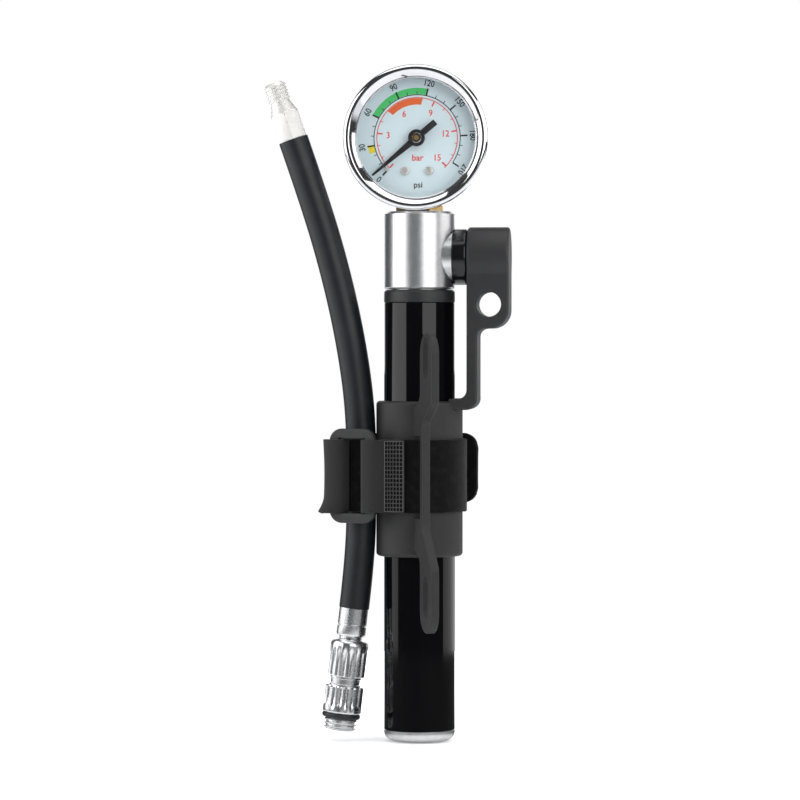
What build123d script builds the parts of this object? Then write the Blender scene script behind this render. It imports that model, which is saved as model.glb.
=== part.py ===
from build123d import *
import os
from math import acos, cos, pi, radians, sin, tan

# Mini pump with a pressure gauge, a frame bracket and a stowed flexible hose.
# Millimetres. +Z runs up the pump from the bottom face of its end cap. The bracket's
# plate points along -Y and its bolts run along X. The head is turned about Z.

# Layout
HEAD_TURN = -20.0            # outlet direction, degrees from +X about Z
HOSE_TURN = 165.5            # side on which the hose is strapped, degrees from +X
PORT_Z = 142.5
GAUGE_Z = 177.1

# Handle, which slides over the barrel
HANDLE_R = 10.42
HANDLE_BORE_R = 9.2
CAP_TOP_Z = 3.1
HANDLE_TOP_Z = 129.1
RING_TOP_Z = 132.8
RING_R = 10.45
SPIGOT_LENGTH = 8.0
ROD_R = 3.0
ROD_FOOT_Z = 5.0
SPIGOT_TOP_Z = 9.0           # top of the end cap's plug inside the tube
BUMPER_TOP_Z = 11.6

# Barrel and piston
BARREL_R = 8.25
BARREL_BORE_R = 7.25
BARREL_FOOT_Z = 14.0
BARREL_TOP_Z = 137.0
BUSH_FLANGE = 2.0
BUSH_PLUG = 6.0
PISTON_FOOT_Z = 127.0
PISTON_LENGTH = 7.5
PISTON_GROOVE = (2.6, 5.0)   # its O-ring groove, up from the piston's foot
PISTON_GROOVE_R = 5.9
ROD_IN_PISTON = 5.5
RUNNING_GAP = 0.05

# Head
HEAD_R = 10.4
HEAD_FOOT_Z = 133.0
HEAD_TOP_Z = 155.8
BOSS_R = 7.7
BOSS_FACE = 10.0
SEAT_THICKNESS = 1.4
CHAMBER_R = 3.1
CHAMBER_TOP_Z = 148.0
BALL_R = 2.25
SEAT_HOLE_R = 1.3
BARREL_GROOVE = (134.6, 136.2)
BARREL_GROOVE_DEPTH = 0.8

# Outlet and dust cap, measured along the outlet direction from the pump's axis
SHANK_R = 3.5
SHANK_START = 5.0
SEAL_SEAT = 13.4
NECK_R = 8.25
NECK_END = 14.3
NIPPLE_R = 5.0
NIPPLE_END = 21.0
THREAD_R = 3.3
CAP_START = 14.4
CAP_END = 26.8
CAP_R = 8.75
LOBE_CORNER = 5.4
CAP_CAVITY_R = 6.5
CAP_CAVITY_END = 22.5
LOBE_FOOT_Z = 121.4
LOBE_HOLE_R = 3.63
LOBE_HOLE = (20.9, 128.5)
ARM_THICKNESS = 3.2
ARM_WIDTH = 14.5
FOOT_Z = 97.5
BEND_RADIUS = 3.3

# Gauge, measured along its axis from the pump's axis, front positive
CASE_R = 20.35
CASE_WALL = 1.0
CASE_BACK = -10.5
CASE_FRONT = 11.0
BEZEL_R = 21.2
BEZEL_BACK = 7.5
BEZEL_FRONT = 14.5
LENS_THICKNESS = 1.2
WINDOW_R = 17.4
DIAL_R = 19.25
DIAL_BACK = 7.0
DIAL_FRONT = 7.5
STEM_HEX = 12.0
STEM_HEX_TOP_Z = 160.3
STEM_BLOCK = (10.0, 14.0)     # its width, and its depth from front to back
STEM_BLOCK_DROP = 12.2       # its top, below the gauge's axis
STEM_BORE_TOP_Z = 163.0
STEM_THREAD_R = 5.0
SPINDLE_R = 0.8
POINTER_REST = 220.0
POINTER_LENGTH = 17.0
POINTER_TAIL = 7.2
STOP_PIN_TURN = 226.5
STOP_PIN_OUT = 12.6
DIAL_SCREW = (3.54, -9.56)
SECTOR_PIVOT_Y = -8.4
SECTOR_R = 7.0
SECTOR_SWING = 42.5
SECTOR_HALF_ANGLE = 64.0     # its straight sides, from the level
SECTOR_THICKNESS = 1.2
PINION_R = 1.3

# Frame bracket
COLLAR_R = 12.75
COLLAR_BORE_R = 10.5
COLLAR_FOOT_Z = 54.4
COLLAR_TOP_Z = 100.1
COLLAR_GAP = 9.0
PLATE_X = (-4.85, -2.45)
EAR_Y = (-31.6, -18.4)
EAR_TOP_Z = 119.9
EAR_FOOT_Z = 33.4
BAR_Y = (-21.6, -18.9)
ELBOWS_Z = (99.5, 94.0, 63.6, 52.5)
EAR_CORNER = 6.2
WINDOW_Z = (66.0, 90.2)
BOLT_Y = -25.1
BOLT_SPACING = 69.0
BOLT_MID_Z = 78.4
SLOT_WIDTH = 5.3
SLOT_LENGTH = 12.0

# Strap
STRAP_Z = (67.6, 88.9)
STRAP_THICKNESS = 1.3
STRAP_GAP = 0.1
STRAP_HOSE_R = 4.75          # the round that the strap takes over the hose, and its place
STRAP_HOSE_OUT = 17.6
STRAP_TURN = -14.5           # the strap's plan is laid out square to this direction
TAIL_Z = (69.6, 90.3)
TAIL_START_Y = -3.0          # where the free end starts on the hose's side
TAIL_END_Y = 5.0             # where it stops on the far side
TAIL_BULGE = 2.6             # how far the free end's far side stands off the band
FRONT_LAYER = ((-8.3, -12.0), (8.4, 16.0))    # a plan window round the folded layer: middle, size
WELD_PATCH = ((-6.2, -14.0), (4.4, 10.0))
RING_SIZE = (15.1, 27.7, 2.0)
RING_BAR = 3.2
RING_WINDOW = 21.8           # height of its opening
RING_ALONG = 5.85            # the ring's near edge, along the strap's front straight
RING_OUT = 2.85              # the ring's back, out from that straight

# Hose. The route's points are (distance out from the pump's axis, height).
HOSE_R = 4.425
HOSE_ROUTE = [
    (37.2, 177.1),
    (30.4, 157.6),
    (24.45, 137.0),
    (20.0, 116.6),
    (17.3, 96.6),
    (17.22, 76.4),
    (17.22, 56.2),
    (19.3, 39.0),
]
FERRULE_HEX = 8.2
FERRULE_LENGTH = 8.4
FERRULE_CONE = 3.4
HOSE_THREAD_LENGTH = 5.2
HOSE_BORE_R = 1.3

# Chuck at the hose's foot, measured out from the hose's end
CHUCK_FERRULE_END = 8.6
SWIVEL_R = 2.4
SWIVEL_END = 16.0
CHUCK_START = 9.3
CHUCK_COLLAR_R = 5.5
CHUCK_COLLAR_END = 20.4
CHUCK_NUT_R = 5.7
CHUCK_NUT_START = 23.3
CHUCK_NUT_END = 31.3
CHUCK_THREAD_R = 4.8
FLUTE_COUNT = 18
FLUTE_R = 0.75
FLUTE_DEPTH = 0.42
FLUTE_LEAD = 3.0
SLEEVE_SHOULDER = 1.4
CHUCK_END = 36.3
CHUCK_BORE_R = 2.7
CHUCK_BORE_START = 29.6
SEAL_R = 3.3
SEAL_START = 26.6

HEAD = Rot(0, 0, HEAD_TURN)
PORT = HEAD * Pos(0, 0, PORT_Z) * Rot(0, 90, 0)
GAUGE = HEAD * Pos(0, 0, GAUGE_Z) * Rot(90, 0, 0)
STRAP = Rot(0, 0, STRAP_TURN)


def save(shape, name):
    export_step(shape, f"parts/{name}.step")


def rod(radius, start, end):
    """A round bar along Z."""
    return Pos(0, 0, start) * Cylinder(radius, end - start, align=(Align.CENTER, Align.CENTER, Align.MIN))


def tube(outer, inner, start, end):
    """A round tube along Z."""
    return rod(outer, start, end) - rod(inner, start - 1, end + 1)


def block(x, y, z):
    """A box between low and high values on each axis."""
    centre = Pos((x[0] + x[1]) / 2, (y[0] + y[1]) / 2, (z[0] + z[1]) / 2)
    return centre * Box(x[1] - x[0], y[1] - y[0], z[1] - z[0])


def hexagon(across, start, end):
    """A hexagonal bar along Z with chamfered ends."""
    bar = extrude(RegularPolygon(across / 2, 6, major_radius=False), end - start)
    bevel = Cone(across * 0.61, across * 0.5, across * 0.11, align=(Align.CENTER, Align.CENTER, Align.MIN))
    top = rod(across * 0.61, 0, end - start - across * 0.11) + Pos(0, 0, end - start - across * 0.11) * bevel
    return Pos(0, 0, start) * (bar & top)


def ring_edges(shape, height, radius):
    """The round edges of a turned part at one height and radius."""
    found = []
    for edge in shape.edges().filter_by(GeomType.CIRCLE):
        if abs(edge.arc_center.Z - height) < 0.01 and abs(edge.radius - radius) < 0.01:
            found.append(edge)
    return found


# ---------------------------------------------------------------- handle

def end_cap():
    cap = rod(HANDLE_R, 0, CAP_TOP_Z)
    cap = fillet(ring_edges(cap, 0, HANDLE_R), 2.5)
    cap += rod(HANDLE_BORE_R, CAP_TOP_Z, SPIGOT_TOP_Z)
    return cap - rod(ROD_R, ROD_FOOT_Z, SPIGOT_TOP_Z + 1)


def guide_ring():
    ring = rod(RING_R, HANDLE_TOP_Z, RING_TOP_Z)
    ring = fillet(ring_edges(ring, RING_TOP_Z, RING_R), 1.0)
    ring += rod(HANDLE_BORE_R, HANDLE_TOP_Z - SPIGOT_LENGTH, HANDLE_TOP_Z)
    return ring - rod(BARREL_R + RUNNING_GAP, HANDLE_TOP_Z - SPIGOT_LENGTH - 1, RING_TOP_Z + 1)


def piston_groove(radius):
    """A ring of that outer radius in the piston's groove."""
    low, high = PISTON_GROOVE
    return tube(radius, PISTON_GROOVE_R, PISTON_FOOT_Z + low, PISTON_FOOT_Z + high)


def piston():
    body = rod(BARREL_BORE_R - 0.09, PISTON_FOOT_Z, PISTON_FOOT_Z + PISTON_LENGTH)
    body -= piston_groove(BARREL_BORE_R + 1)
    return body - rod(ROD_R, PISTON_FOOT_Z - 1, PISTON_FOOT_Z + ROD_IN_PISTON)


def handle_parts():
    save(tube(HANDLE_R, HANDLE_BORE_R, CAP_TOP_Z, HANDLE_TOP_Z), "handle_tube")
    save(end_cap(), "end_cap")
    save(guide_ring(), "guide_ring")
    save(rod(ROD_R, ROD_FOOT_Z, PISTON_FOOT_Z + ROD_IN_PISTON), "piston_rod")
    save(tube(7.5, ROD_R, SPIGOT_TOP_Z, BUMPER_TOP_Z), "stop_bumper")
    save(piston(), "piston")
    save(piston_groove(BARREL_BORE_R - 0.03), "piston_o_ring")


# ---------------------------------------------------------------- barrel, head, valve

def barrel_bush():
    foot = BARREL_FOOT_Z - BUSH_FLANGE
    bush = rod(HANDLE_BORE_R - RUNNING_GAP, foot, BARREL_FOOT_Z)
    bush += rod(BARREL_BORE_R, BARREL_FOOT_Z, BARREL_FOOT_Z + BUSH_PLUG)
    bush -= rod(ROD_R + 0.06, foot - 1, BARREL_FOOT_Z + BUSH_PLUG + 1)
    for turn in range(3):
        vent = Rot(0, 0, 120 * turn) * Pos(5.2, 0, 0) * rod(0.8, foot - 1, BARREL_FOOT_Z + BUSH_PLUG + 1)
        bush -= vent
    return bush


def pump_head():
    body = rod(HEAD_R, HEAD_FOOT_Z, HEAD_TOP_Z)
    body = chamfer(ring_edges(body, HEAD_FOOT_Z, HEAD_R), 0.5)
    body = chamfer(ring_edges(body, HEAD_TOP_Z, HEAD_R), 0.7)
    turn = Pos(0, 0, PORT_Z) * Rot(0, 90, 0)
    body += turn * rod(BOSS_R, 0, BOSS_FACE)
    body -= turn * rod(NECK_R + 0.25, BOSS_FACE, NECK_END)
    body -= rod(BARREL_R, HEAD_FOOT_Z - 1, BARREL_TOP_Z + SEAT_THICKNESS)
    body -= tube(BARREL_R + BARREL_GROOVE_DEPTH, BARREL_R - 0.5, *BARREL_GROOVE)
    body -= rod(CHAMBER_R, BARREL_TOP_Z, CHAMBER_TOP_Z)
    body -= rod(STEM_THREAD_R, CHAMBER_TOP_Z, HEAD_TOP_Z + 1)
    body -= turn * rod(1.5, 1, SHANK_START)
    body -= turn * rod(SHANK_R, SHANK_START, BOSS_FACE + 1)
    return HEAD * body


def valve_spring():
    wire = 0.42
    low = BARREL_TOP_Z + SEAT_THICKNESS + 4.3
    height = CHAMBER_TOP_Z - low - wire
    path = Pos(0, 0, low + wire / 2) * Helix(pitch=height / 4.5, height=height, radius=1.75)
    start = path @ 0
    section = Plane(origin=start, z_dir=path % 0) * Circle(wire / 2)
    return sweep(section, path=path, is_frenet=True)


def core_parts():
    seat_top = BARREL_TOP_Z + SEAT_THICKNESS
    ball_z = seat_top + (BALL_R**2 - SEAT_HOLE_R**2) ** 0.5 + 0.02
    save(tube(BARREL_R, BARREL_BORE_R, BARREL_FOOT_Z, BARREL_TOP_Z), "inner_barrel")
    save(barrel_bush(), "barrel_bush")
    save(tube(BARREL_R + BARREL_GROOVE_DEPTH, BARREL_R, *BARREL_GROOVE), "barrel_o_ring")
    save(pump_head(), "pump_head")
    save(tube(BARREL_R, SEAT_HOLE_R, BARREL_TOP_Z, seat_top), "valve_seat")
    save(Pos(0, 0, ball_z) * Sphere(BALL_R), "valve_ball")
    save(valve_spring(), "valve_spring")


# ---------------------------------------------------------------- outlet and dust cap

def outlet_socket():
    body = rod(SHANK_R, SHANK_START, BOSS_FACE)
    neck = rod(NECK_R, BOSS_FACE, NECK_END)
    neck = fillet(ring_edges(neck, NECK_END, NECK_R), 0.6)
    body += neck + rod(NIPPLE_R, NECK_END, NIPPLE_END)
    body = chamfer(ring_edges(body, NIPPLE_END, NIPPLE_R), 0.4)
    body -= rod(1.5, SHANK_START - 1, SEAL_SEAT + 0.5)
    body -= rod(THREAD_R, SEAL_SEAT, NIPPLE_END + 1)
    return PORT * body


def cap_shell():
    """The cup, its lower lobe and the arm, drawn in the head's frame."""
    cup = Pos(0, 0, PORT_Z) * Rot(0, 90, 0) * rod(CAP_R, CAP_START, CAP_END)
    half = ARM_WIDTH / 2
    lobe = block((CAP_START, CAP_END), (-half, half), (LOBE_FOOT_Z, PORT_Z))
    corner = lobe.edges().filter_by(Axis.Y).sort_by_distance((CAP_END, 0, LOBE_FOOT_Z))[0]
    lobe = fillet(corner, LOBE_CORNER)
    shell = cup + lobe
    shell += block((CAP_START, CAP_START + ARM_THICKNESS), (-half, half), (FOOT_Z + BEND_RADIUS, LOBE_FOOT_Z + 1))
    bend = Pos(CAP_START, 0, FOOT_Z + BEND_RADIUS) * Rot(90, 0, 0) * Cylinder(BEND_RADIUS, ARM_WIDTH)
    shell += bend & block((CAP_START, CAP_END), (-half, half), (FOOT_Z, FOOT_Z + BEND_RADIUS))
    shell -= Pos(0, 0, PORT_Z) * Rot(0, 90, 0) * rod(CAP_CAVITY_R, CAP_START - 1, CAP_CAVITY_END)
    hole = Pos(LOBE_HOLE[0], 0, LOBE_HOLE[1]) * Rot(90, 0, 0) * Cylinder(LOBE_HOLE_R, ARM_WIDTH + 4)
    return shell - hole


def tether_foot():
    half = ARM_WIDTH / 2
    foot = block((8.0, CAP_START - 0.02), (-half, half), (FOOT_Z, FOOT_Z + BEND_RADIUS))
    return foot - rod(COLLAR_BORE_R, 90, 110)


def outlet_parts():
    save(outlet_socket(), "outlet_socket")
    save(PORT * tube(THREAD_R, 1.6, SEAL_SEAT, SEAL_SEAT + 1), "outlet_seal")
    save(HEAD * cap_shell(), "dust_cap")
    save(HEAD * tether_foot(), "cap_tether_foot")


# ---------------------------------------------------------------- gauge

def gauge_stem():
    stem = rod(STEM_THREAD_R, CHAMBER_TOP_Z, HEAD_TOP_Z)
    stem += hexagon(STEM_HEX, HEAD_TOP_Z, STEM_HEX_TOP_Z)
    width, depth = STEM_BLOCK
    half = width / 2
    stem += block((-half, half), (-half, depth - half), (STEM_HEX_TOP_Z - 0.1, GAUGE_Z - STEM_BLOCK_DROP))
    return HEAD * (stem - rod(1.0, CHAMBER_TOP_Z - 1, STEM_BORE_TOP_Z))


def gauge_case():
    body = rod(CASE_R, CASE_BACK, CASE_FRONT)
    body = fillet(ring_edges(body, CASE_BACK, CASE_R), 2.4)
    body -= rod(CASE_R - CASE_WALL, CASE_BACK + CASE_WALL, CASE_FRONT + 1)
    body -= Pos(0, -17.6, 0) * Rot(90, 0, 0) * Cylinder(7.05, 8)
    return GAUGE * body


def gauge_bezel():
    lens_front = CASE_FRONT + LENS_THICKNESS
    body = rod(BEZEL_R, BEZEL_BACK, BEZEL_FRONT)
    body = fillet(ring_edges(body, BEZEL_FRONT, BEZEL_R), 0.5)
    body -= rod(CASE_R, BEZEL_BACK - 1, lens_front)
    body -= Pos(0, 0, lens_front) * Cone(
        WINDOW_R, BEZEL_R - 1.0, BEZEL_FRONT - lens_front, align=(Align.CENTER, Align.CENTER, Align.MIN)
    )
    return GAUGE * body


def pinion_spindle():
    body = rod(SPINDLE_R, -3.4, 10.4)
    teeth = rod(0.95, 0.4, 2.2)
    for tooth in range(8):
        teeth += Rot(0, 0, 45 * tooth) * block((0, PINION_R), (-0.2, 0.2), (0.4, 2.2))
    return GAUGE * (body + teeth)


def pointer():
    needle = Polyline(
        (0, 1.1), (POINTER_LENGTH, 0.28), (POINTER_LENGTH, -0.28), (0, -1.1), close=True
    )
    blade = extrude(make_face(needle), 0.5)
    body = Pos(0, 0, 9.0) * blade
    body += block((-POINTER_TAIL, 0), (-0.93, 0.93), (9.0, 9.5))
    body += rod(2.45, 8.8, 10.0)
    body -= rod(SPINDLE_R, 8, 11)
    return GAUGE * Rot(0, 0, POINTER_REST) * body


def movement_frame():
    frame = block((-7, 7), (-12, 5), (3.5, 4.3)) + block((-7, 7), (-12, 5), (-2.8, -2.0))
    for x in (-5.8, 5.8):
        for y in (-10.8, 3.8):
            frame += Pos(x, y, 0) * rod(0.9, -2.0, 3.5)
    for side in (-1, 1):
        post = Pos(side * DIAL_SCREW[0], DIAL_SCREW[1], 0)
        frame += post * rod(1.5, 4.3, DIAL_BACK)
        frame -= post * rod(0.8, 4.3, DIAL_BACK + 1)
    frame -= rod(SPINDLE_R + 0.06, -4, 5)
    frame -= Pos(0, SECTOR_PIVOT_Y, 0) * rod(0.76, -4, 5)
    frame += block((-5, 5), (-12.2, -11), (-2.8, -2.0))
    return GAUGE * frame


def sector_gear():
    pivot = Pos(0, SECTOR_PIVOT_Y, 0)
    side = 2 * SECTOR_R * cos(radians(SECTOR_HALF_ANGLE))
    height = 2 * SECTOR_R * sin(radians(SECTOR_HALF_ANGLE))
    wedge = make_face(Polyline((0, 0), (side, height), (-side, height), close=True))
    plate = extrude(wedge, SECTOR_THICKNESS) & rod(SECTOR_R - 0.35, -1, 2)
    for tooth in range(-11, 12):
        place = Rot(0, 0, 90 + 2.2 * tooth)
        plate += place * block((SECTOR_R - 0.8, SECTOR_R), (-0.07, 0.07), (0, SECTOR_THICKNESS))
    plate += block((-0.9, 0.9), (-2.6, 0), (0, SECTOR_THICKNESS))
    plate = Pos(0, 0, 0.7) * plate + rod(1.4, 0, 2.4) + rod(0.7, -2.8, 4.3)
    return GAUGE * pivot * Rot(0, 0, -SECTOR_SWING / 2) * plate


def bourdon_tube():
    ring = Circle(15.4) - Circle(13.6)
    open_side = Pos(17.5, -20) * Rectangle(45, 40)
    tube_solid = Pos(0, 0, -9.0) * extrude(ring - open_side, 5.5)
    return GAUGE * tube_solid


def dial_screws():
    screws = []
    for side in (-1, 1):
        head = rod(1.35, DIAL_FRONT, DIAL_FRONT + 0.8)
        head -= block((-0.95, 0.95), (-0.18, 0.18), (DIAL_FRONT + 0.35, DIAL_FRONT + 1))
        head -= block((-0.18, 0.18), (-0.95, 0.95), (DIAL_FRONT + 0.35, DIAL_FRONT + 1))
        screw = head + rod(0.8, DIAL_BACK - 2.2, DIAL_FRONT)
        screws.append(GAUGE * Pos(side * DIAL_SCREW[0], DIAL_SCREW[1], 0) * screw)
    return Compound(screws)


def dial():
    face = rod(DIAL_R, DIAL_BACK, DIAL_FRONT) - rod(1.6, 5, 9)
    for side in (-1, 1):
        face -= Pos(side * DIAL_SCREW[0], DIAL_SCREW[1], 0) * rod(0.8, 5, 9)
    face -= Rot(0, 0, STOP_PIN_TURN) * Pos(STOP_PIN_OUT, 0, 0) * rod(0.6, 5, 9)
    return GAUGE * face


def gauge_parts():
    save(gauge_stem(), "gauge_stem")
    save(gauge_case(), "gauge_case")
    save(gauge_bezel(), "gauge_bezel")
    save(GAUGE * rod(CASE_R - 0.1, CASE_FRONT, CASE_FRONT + LENS_THICKNESS), "gauge_lens")
    save(dial(), "gauge_dial")
    save(dial_screws(), "dial_screws")
    save(GAUGE * Rot(0, 0, STOP_PIN_TURN) * Pos(STOP_PIN_OUT, 0, 0) * rod(0.6, DIAL_BACK, 9.9), "stop_pin")
    save(movement_frame(), "movement_frame")
    save(sector_gear(), "sector_gear")
    save(bourdon_tube(), "bourdon_tube")
    save(pinion_spindle(), "pointer_spindle")
    save(pointer(), "gauge_pointer")


# ---------------------------------------------------------------- bracket

def plate_outline():
    """The bracket plate's outline as (y, z): two ears joined by a narrow bar."""
    outline = Polyline(
        (-11.2, 98.2), (EAR_Y[1], 101.0), (EAR_Y[1], EAR_TOP_Z), (EAR_Y[0], EAR_TOP_Z),
        (EAR_Y[0], ELBOWS_Z[0]), (BAR_Y[0], ELBOWS_Z[1]), (BAR_Y[0], ELBOWS_Z[2]), (EAR_Y[0], ELBOWS_Z[3]),
        (EAR_Y[0], EAR_FOOT_Z), (EAR_Y[1], EAR_FOOT_Z), (EAR_Y[1], 54.0), (-11.2, 57.0),
        close=True,
    )
    face = make_face(outline)
    ear_ends = []
    elbows = []
    for corner in face.vertices():
        if abs(corner.Y - EAR_TOP_Z) < 0.01 or abs(corner.Y - EAR_FOOT_Z) < 0.01:
            ear_ends.append(corner)
        elif corner.X < -12:
            elbows.append(corner)
    face = fillet(ear_ends, EAR_CORNER)
    corners = [v for v in face.vertices() for e in elbows if (Vector(v) - Vector(e)).length < 0.01]
    return fillet(corners, 3.0)


def frame_bracket():
    x_low, x_high = PLATE_X
    plate = extrude(Plane.YZ * plate_outline(), x_high - x_low)
    plate = Pos(x_low, 0, 0) * plate
    plate = fillet(plate.edges().filter_by(Plane.YZ), 0.45)
    plate -= block((x_low - 1, x_high + 1), (BAR_Y[1], -5), WINDOW_Z)
    for side in (-1, 1):
        slot = SlotOverall(SLOT_LENGTH, SLOT_WIDTH, rotation=90)
        cut = extrude(Plane.YZ * Pos(BOLT_Y, BOLT_MID_Z + side * BOLT_SPACING / 2) * slot, 10, both=True)
        plate -= cut
    collar = tube(COLLAR_R, COLLAR_BORE_R, COLLAR_FOOT_Z, COLLAR_TOP_Z)
    rims = ring_edges(collar, COLLAR_FOOT_Z, COLLAR_R) + ring_edges(collar, COLLAR_TOP_Z, COLLAR_R)
    collar = fillet(rims, 1.1)
    body = collar + (plate - rod(COLLAR_BORE_R, 0, 200))
    body -= block((-COLLAR_GAP / 2, COLLAR_GAP / 2), (5, 20), (50, 110))
    half = ARM_WIDTH / 2
    body -= HEAD * block((0, 20), (-half, half), (FOOT_Z, FOOT_Z + 6))
    return body


# ---------------------------------------------------------------- strap, in its own plan frame

def strap_loop(offset):
    """The outline round the collar and the hose, that far out from both."""
    collar_r = COLLAR_R + offset
    hose_r = STRAP_HOSE_R + offset
    hose_x = -STRAP_HOSE_OUT
    lean = acos((collar_r - hose_r) / -hose_x)
    corners = []
    for side in (1, -1):
        normal = (-cos(lean), side * sin(lean))
        near = (collar_r * normal[0], collar_r * normal[1])
        far = (hose_x + hose_r * normal[0], hose_r * normal[1])
        corners += [near, far] if side == 1 else [far, near]
    web = make_face(Polyline(*corners, close=True))
    return Circle(collar_r) + Pos(hose_x, 0) * Circle(hose_r) + web


def front_place():
    """A plan frame on the strap's front straight: X along it towards the hose, Y outwards."""
    lean = acos((COLLAR_R - STRAP_HOSE_R) / STRAP_HOSE_OUT)
    start = (-COLLAR_R * cos(lean), -COLLAR_R * sin(lean), 0)
    plane = Plane(origin=start, x_dir=(-sin(lean), cos(lean), 0), z_dir=(0, 0, 1))
    return plane.location


def lifted(sketch, heights=STRAP_Z):
    return Pos(0, 0, heights[0]) * extrude(sketch, heights[1] - heights[0], dir=(0, 0, 1))


def ring_slab(along, outward, corner):
    """A plan rectangle on the front straight."""
    size = (along[1] - along[0], outward[1] - outward[0])
    return Pos((along[0] + along[1]) / 2, (outward[0] + outward[1]) / 2) * RectangleRounded(*size, corner)


def bar_loop(bar_start):
    """The strap's turn round one upright bar of the ring."""
    room = 0.05
    low = RING_OUT
    high = RING_OUT + RING_SIZE[2]
    reach = room + STRAP_THICKNESS
    outer = ring_slab((bar_start - reach, bar_start + RING_BAR + reach), (low - reach, high + reach), 1.4)
    inner = ring_slab((bar_start - room, bar_start + RING_BAR + room), (low - room, high + room), 0.1)
    return outer - inner


def strap_ring():
    outer = RectangleRounded(RING_SIZE[0], RING_SIZE[1], 4.0)
    inner = RectangleRounded(RING_SIZE[0] - 2 * RING_BAR, RING_WINDOW, 0.4)
    ring = extrude(outer - inner, RING_SIZE[2])
    ring = fillet(ring.edges().filter_by(Plane.XY), 0.5)
    middle_z = (STRAP_Z[0] + STRAP_Z[1]) / 2
    centre = Pos(RING_ALONG + RING_SIZE[0] / 2, RING_OUT, middle_z)
    return STRAP * front_place() * centre * Rot(-90, 0, 0) * ring


def strap_front():
    """The fixed end: a turn round the ring's near bar, folded back and welded to itself."""
    loop = bar_loop(RING_ALONG)
    top = RING_OUT + RING_SIZE[2] + STRAP_THICKNESS
    slope = Polyline(
        (RING_ALONG + 1.0, top), (RING_ALONG - 1.3, top - 0.6), (1.5, RING_OUT), (RING_ALONG - 1.3, RING_OUT),
        close=True,
    )
    plan = front_place() * (loop + make_face(slope))
    layer = strap_loop(2.8) - strap_loop(1.45)
    layer &= Pos(*FRONT_LAYER[0]) * Rectangle(*FRONT_LAYER[1])
    return STRAP * (lifted(plan) + lifted(layer))


def strap_weld():
    layer = strap_loop(3.05) - strap_loop(2.82)
    layer &= Pos(*WELD_PATCH[0]) * Rectangle(*WELD_PATCH[1])
    return STRAP * lifted(layer)


def strap_fold():
    """The free end's turn round the ring's far bar."""
    return STRAP * lifted(front_place() * bar_loop(RING_ALONG + RING_SIZE[0] - RING_BAR))


def strap_tail():
    """The free end, which runs round the hose and the back and is pressed down on the far side."""
    plan = strap_loop(2.75) + Pos(TAIL_BULGE, 0) * Circle(COLLAR_R + 1.85)
    plan -= strap_loop(1.45)
    plan -= Pos(-20, TAIL_START_Y - 40) * Rectangle(40, 80)
    plan -= Pos(20, TAIL_END_Y - 40) * Rectangle(40, 80)
    return STRAP * lifted(plan, TAIL_Z)


def strap_parts():
    save(STRAP * lifted(strap_loop(STRAP_GAP + STRAP_THICKNESS) - strap_loop(STRAP_GAP)), "strap_band")
    save(strap_ring(), "strap_ring")
    save(strap_front(), "strap_front")
    save(strap_weld(), "strap_weld")
    save(strap_fold(), "strap_fold")
    save(strap_tail(), "strap_tail")


# ---------------------------------------------------------------- hose

def out(distance, height):
    """A point in the upright plane through the pump's axis and the hose."""
    angle = radians(HOSE_TURN)
    return Vector(distance * cos(angle), distance * sin(angle), height)


def hose_radii(points):
    radii = []
    for before, corner, after in zip(points, points[1:], points[2:]):
        arriving = corner - before
        leaving = after - corner
        turn = radians(arriving.get_angle(leaving))
        radii.append(0.45 * min(arriving.length, leaving.length) / tan(turn / 2))
    return radii


def end_frame(tip, back):
    """A frame at the hose's end whose Z axis points out of the hose."""
    angle = radians(HOSE_TURN)
    across = Vector(-sin(angle), cos(angle), 0)
    return Plane(origin=tip, x_dir=across, z_dir=tip - back).location


def hose_tube(points, radii):
    path = FilletPolyline(*points, radius=radii)
    section = Plane(origin=points[0], z_dir=points[1] - points[0]) * Circle(HOSE_R)
    solid = sweep(section, path=path)
    ideal = path.length * pi * HOSE_R**2
    print("hose radii", [round(r, 1) for r in radii])
    print("hose length", round(path.length, 2), "volume ratio", round(solid.volume / ideal, 5))
    return solid


def hose_ferrule():
    body = hexagon(FERRULE_HEX, 0, FERRULE_LENGTH)
    cone = Cone(3.9, 2.8, FERRULE_CONE, align=(Align.CENTER, Align.CENTER, Align.MIN))
    return body + Pos(0, 0, FERRULE_LENGTH) * cone


def hose_nipple():
    """The thread is a plain shank at its crest radius, with a short lead beyond it."""
    start = FERRULE_LENGTH + FERRULE_CONE
    end = start + HOSE_THREAD_LENGTH
    shank = rod(THREAD_R, start, end) + rod(THREAD_R - 0.6, start, end + 0.5)
    return shank - rod(HOSE_BORE_R, start, end + 1)


def fluted(radius, start, end, flutes, depth):
    """A gripping sleeve with a rounded shoulder and open flutes below it."""
    sleeve = rod(radius, start, end)
    sleeve = fillet(ring_edges(sleeve, start, radius), SLEEVE_SHOULDER)
    groove = Pos(radius + FLUTE_R - depth, 0, 0) * rod(FLUTE_R, start + FLUTE_LEAD, end + 1)
    for turn in range(flutes):
        sleeve -= Rot(0, 0, 360 / flutes * turn) * groove
    return sleeve


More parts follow.
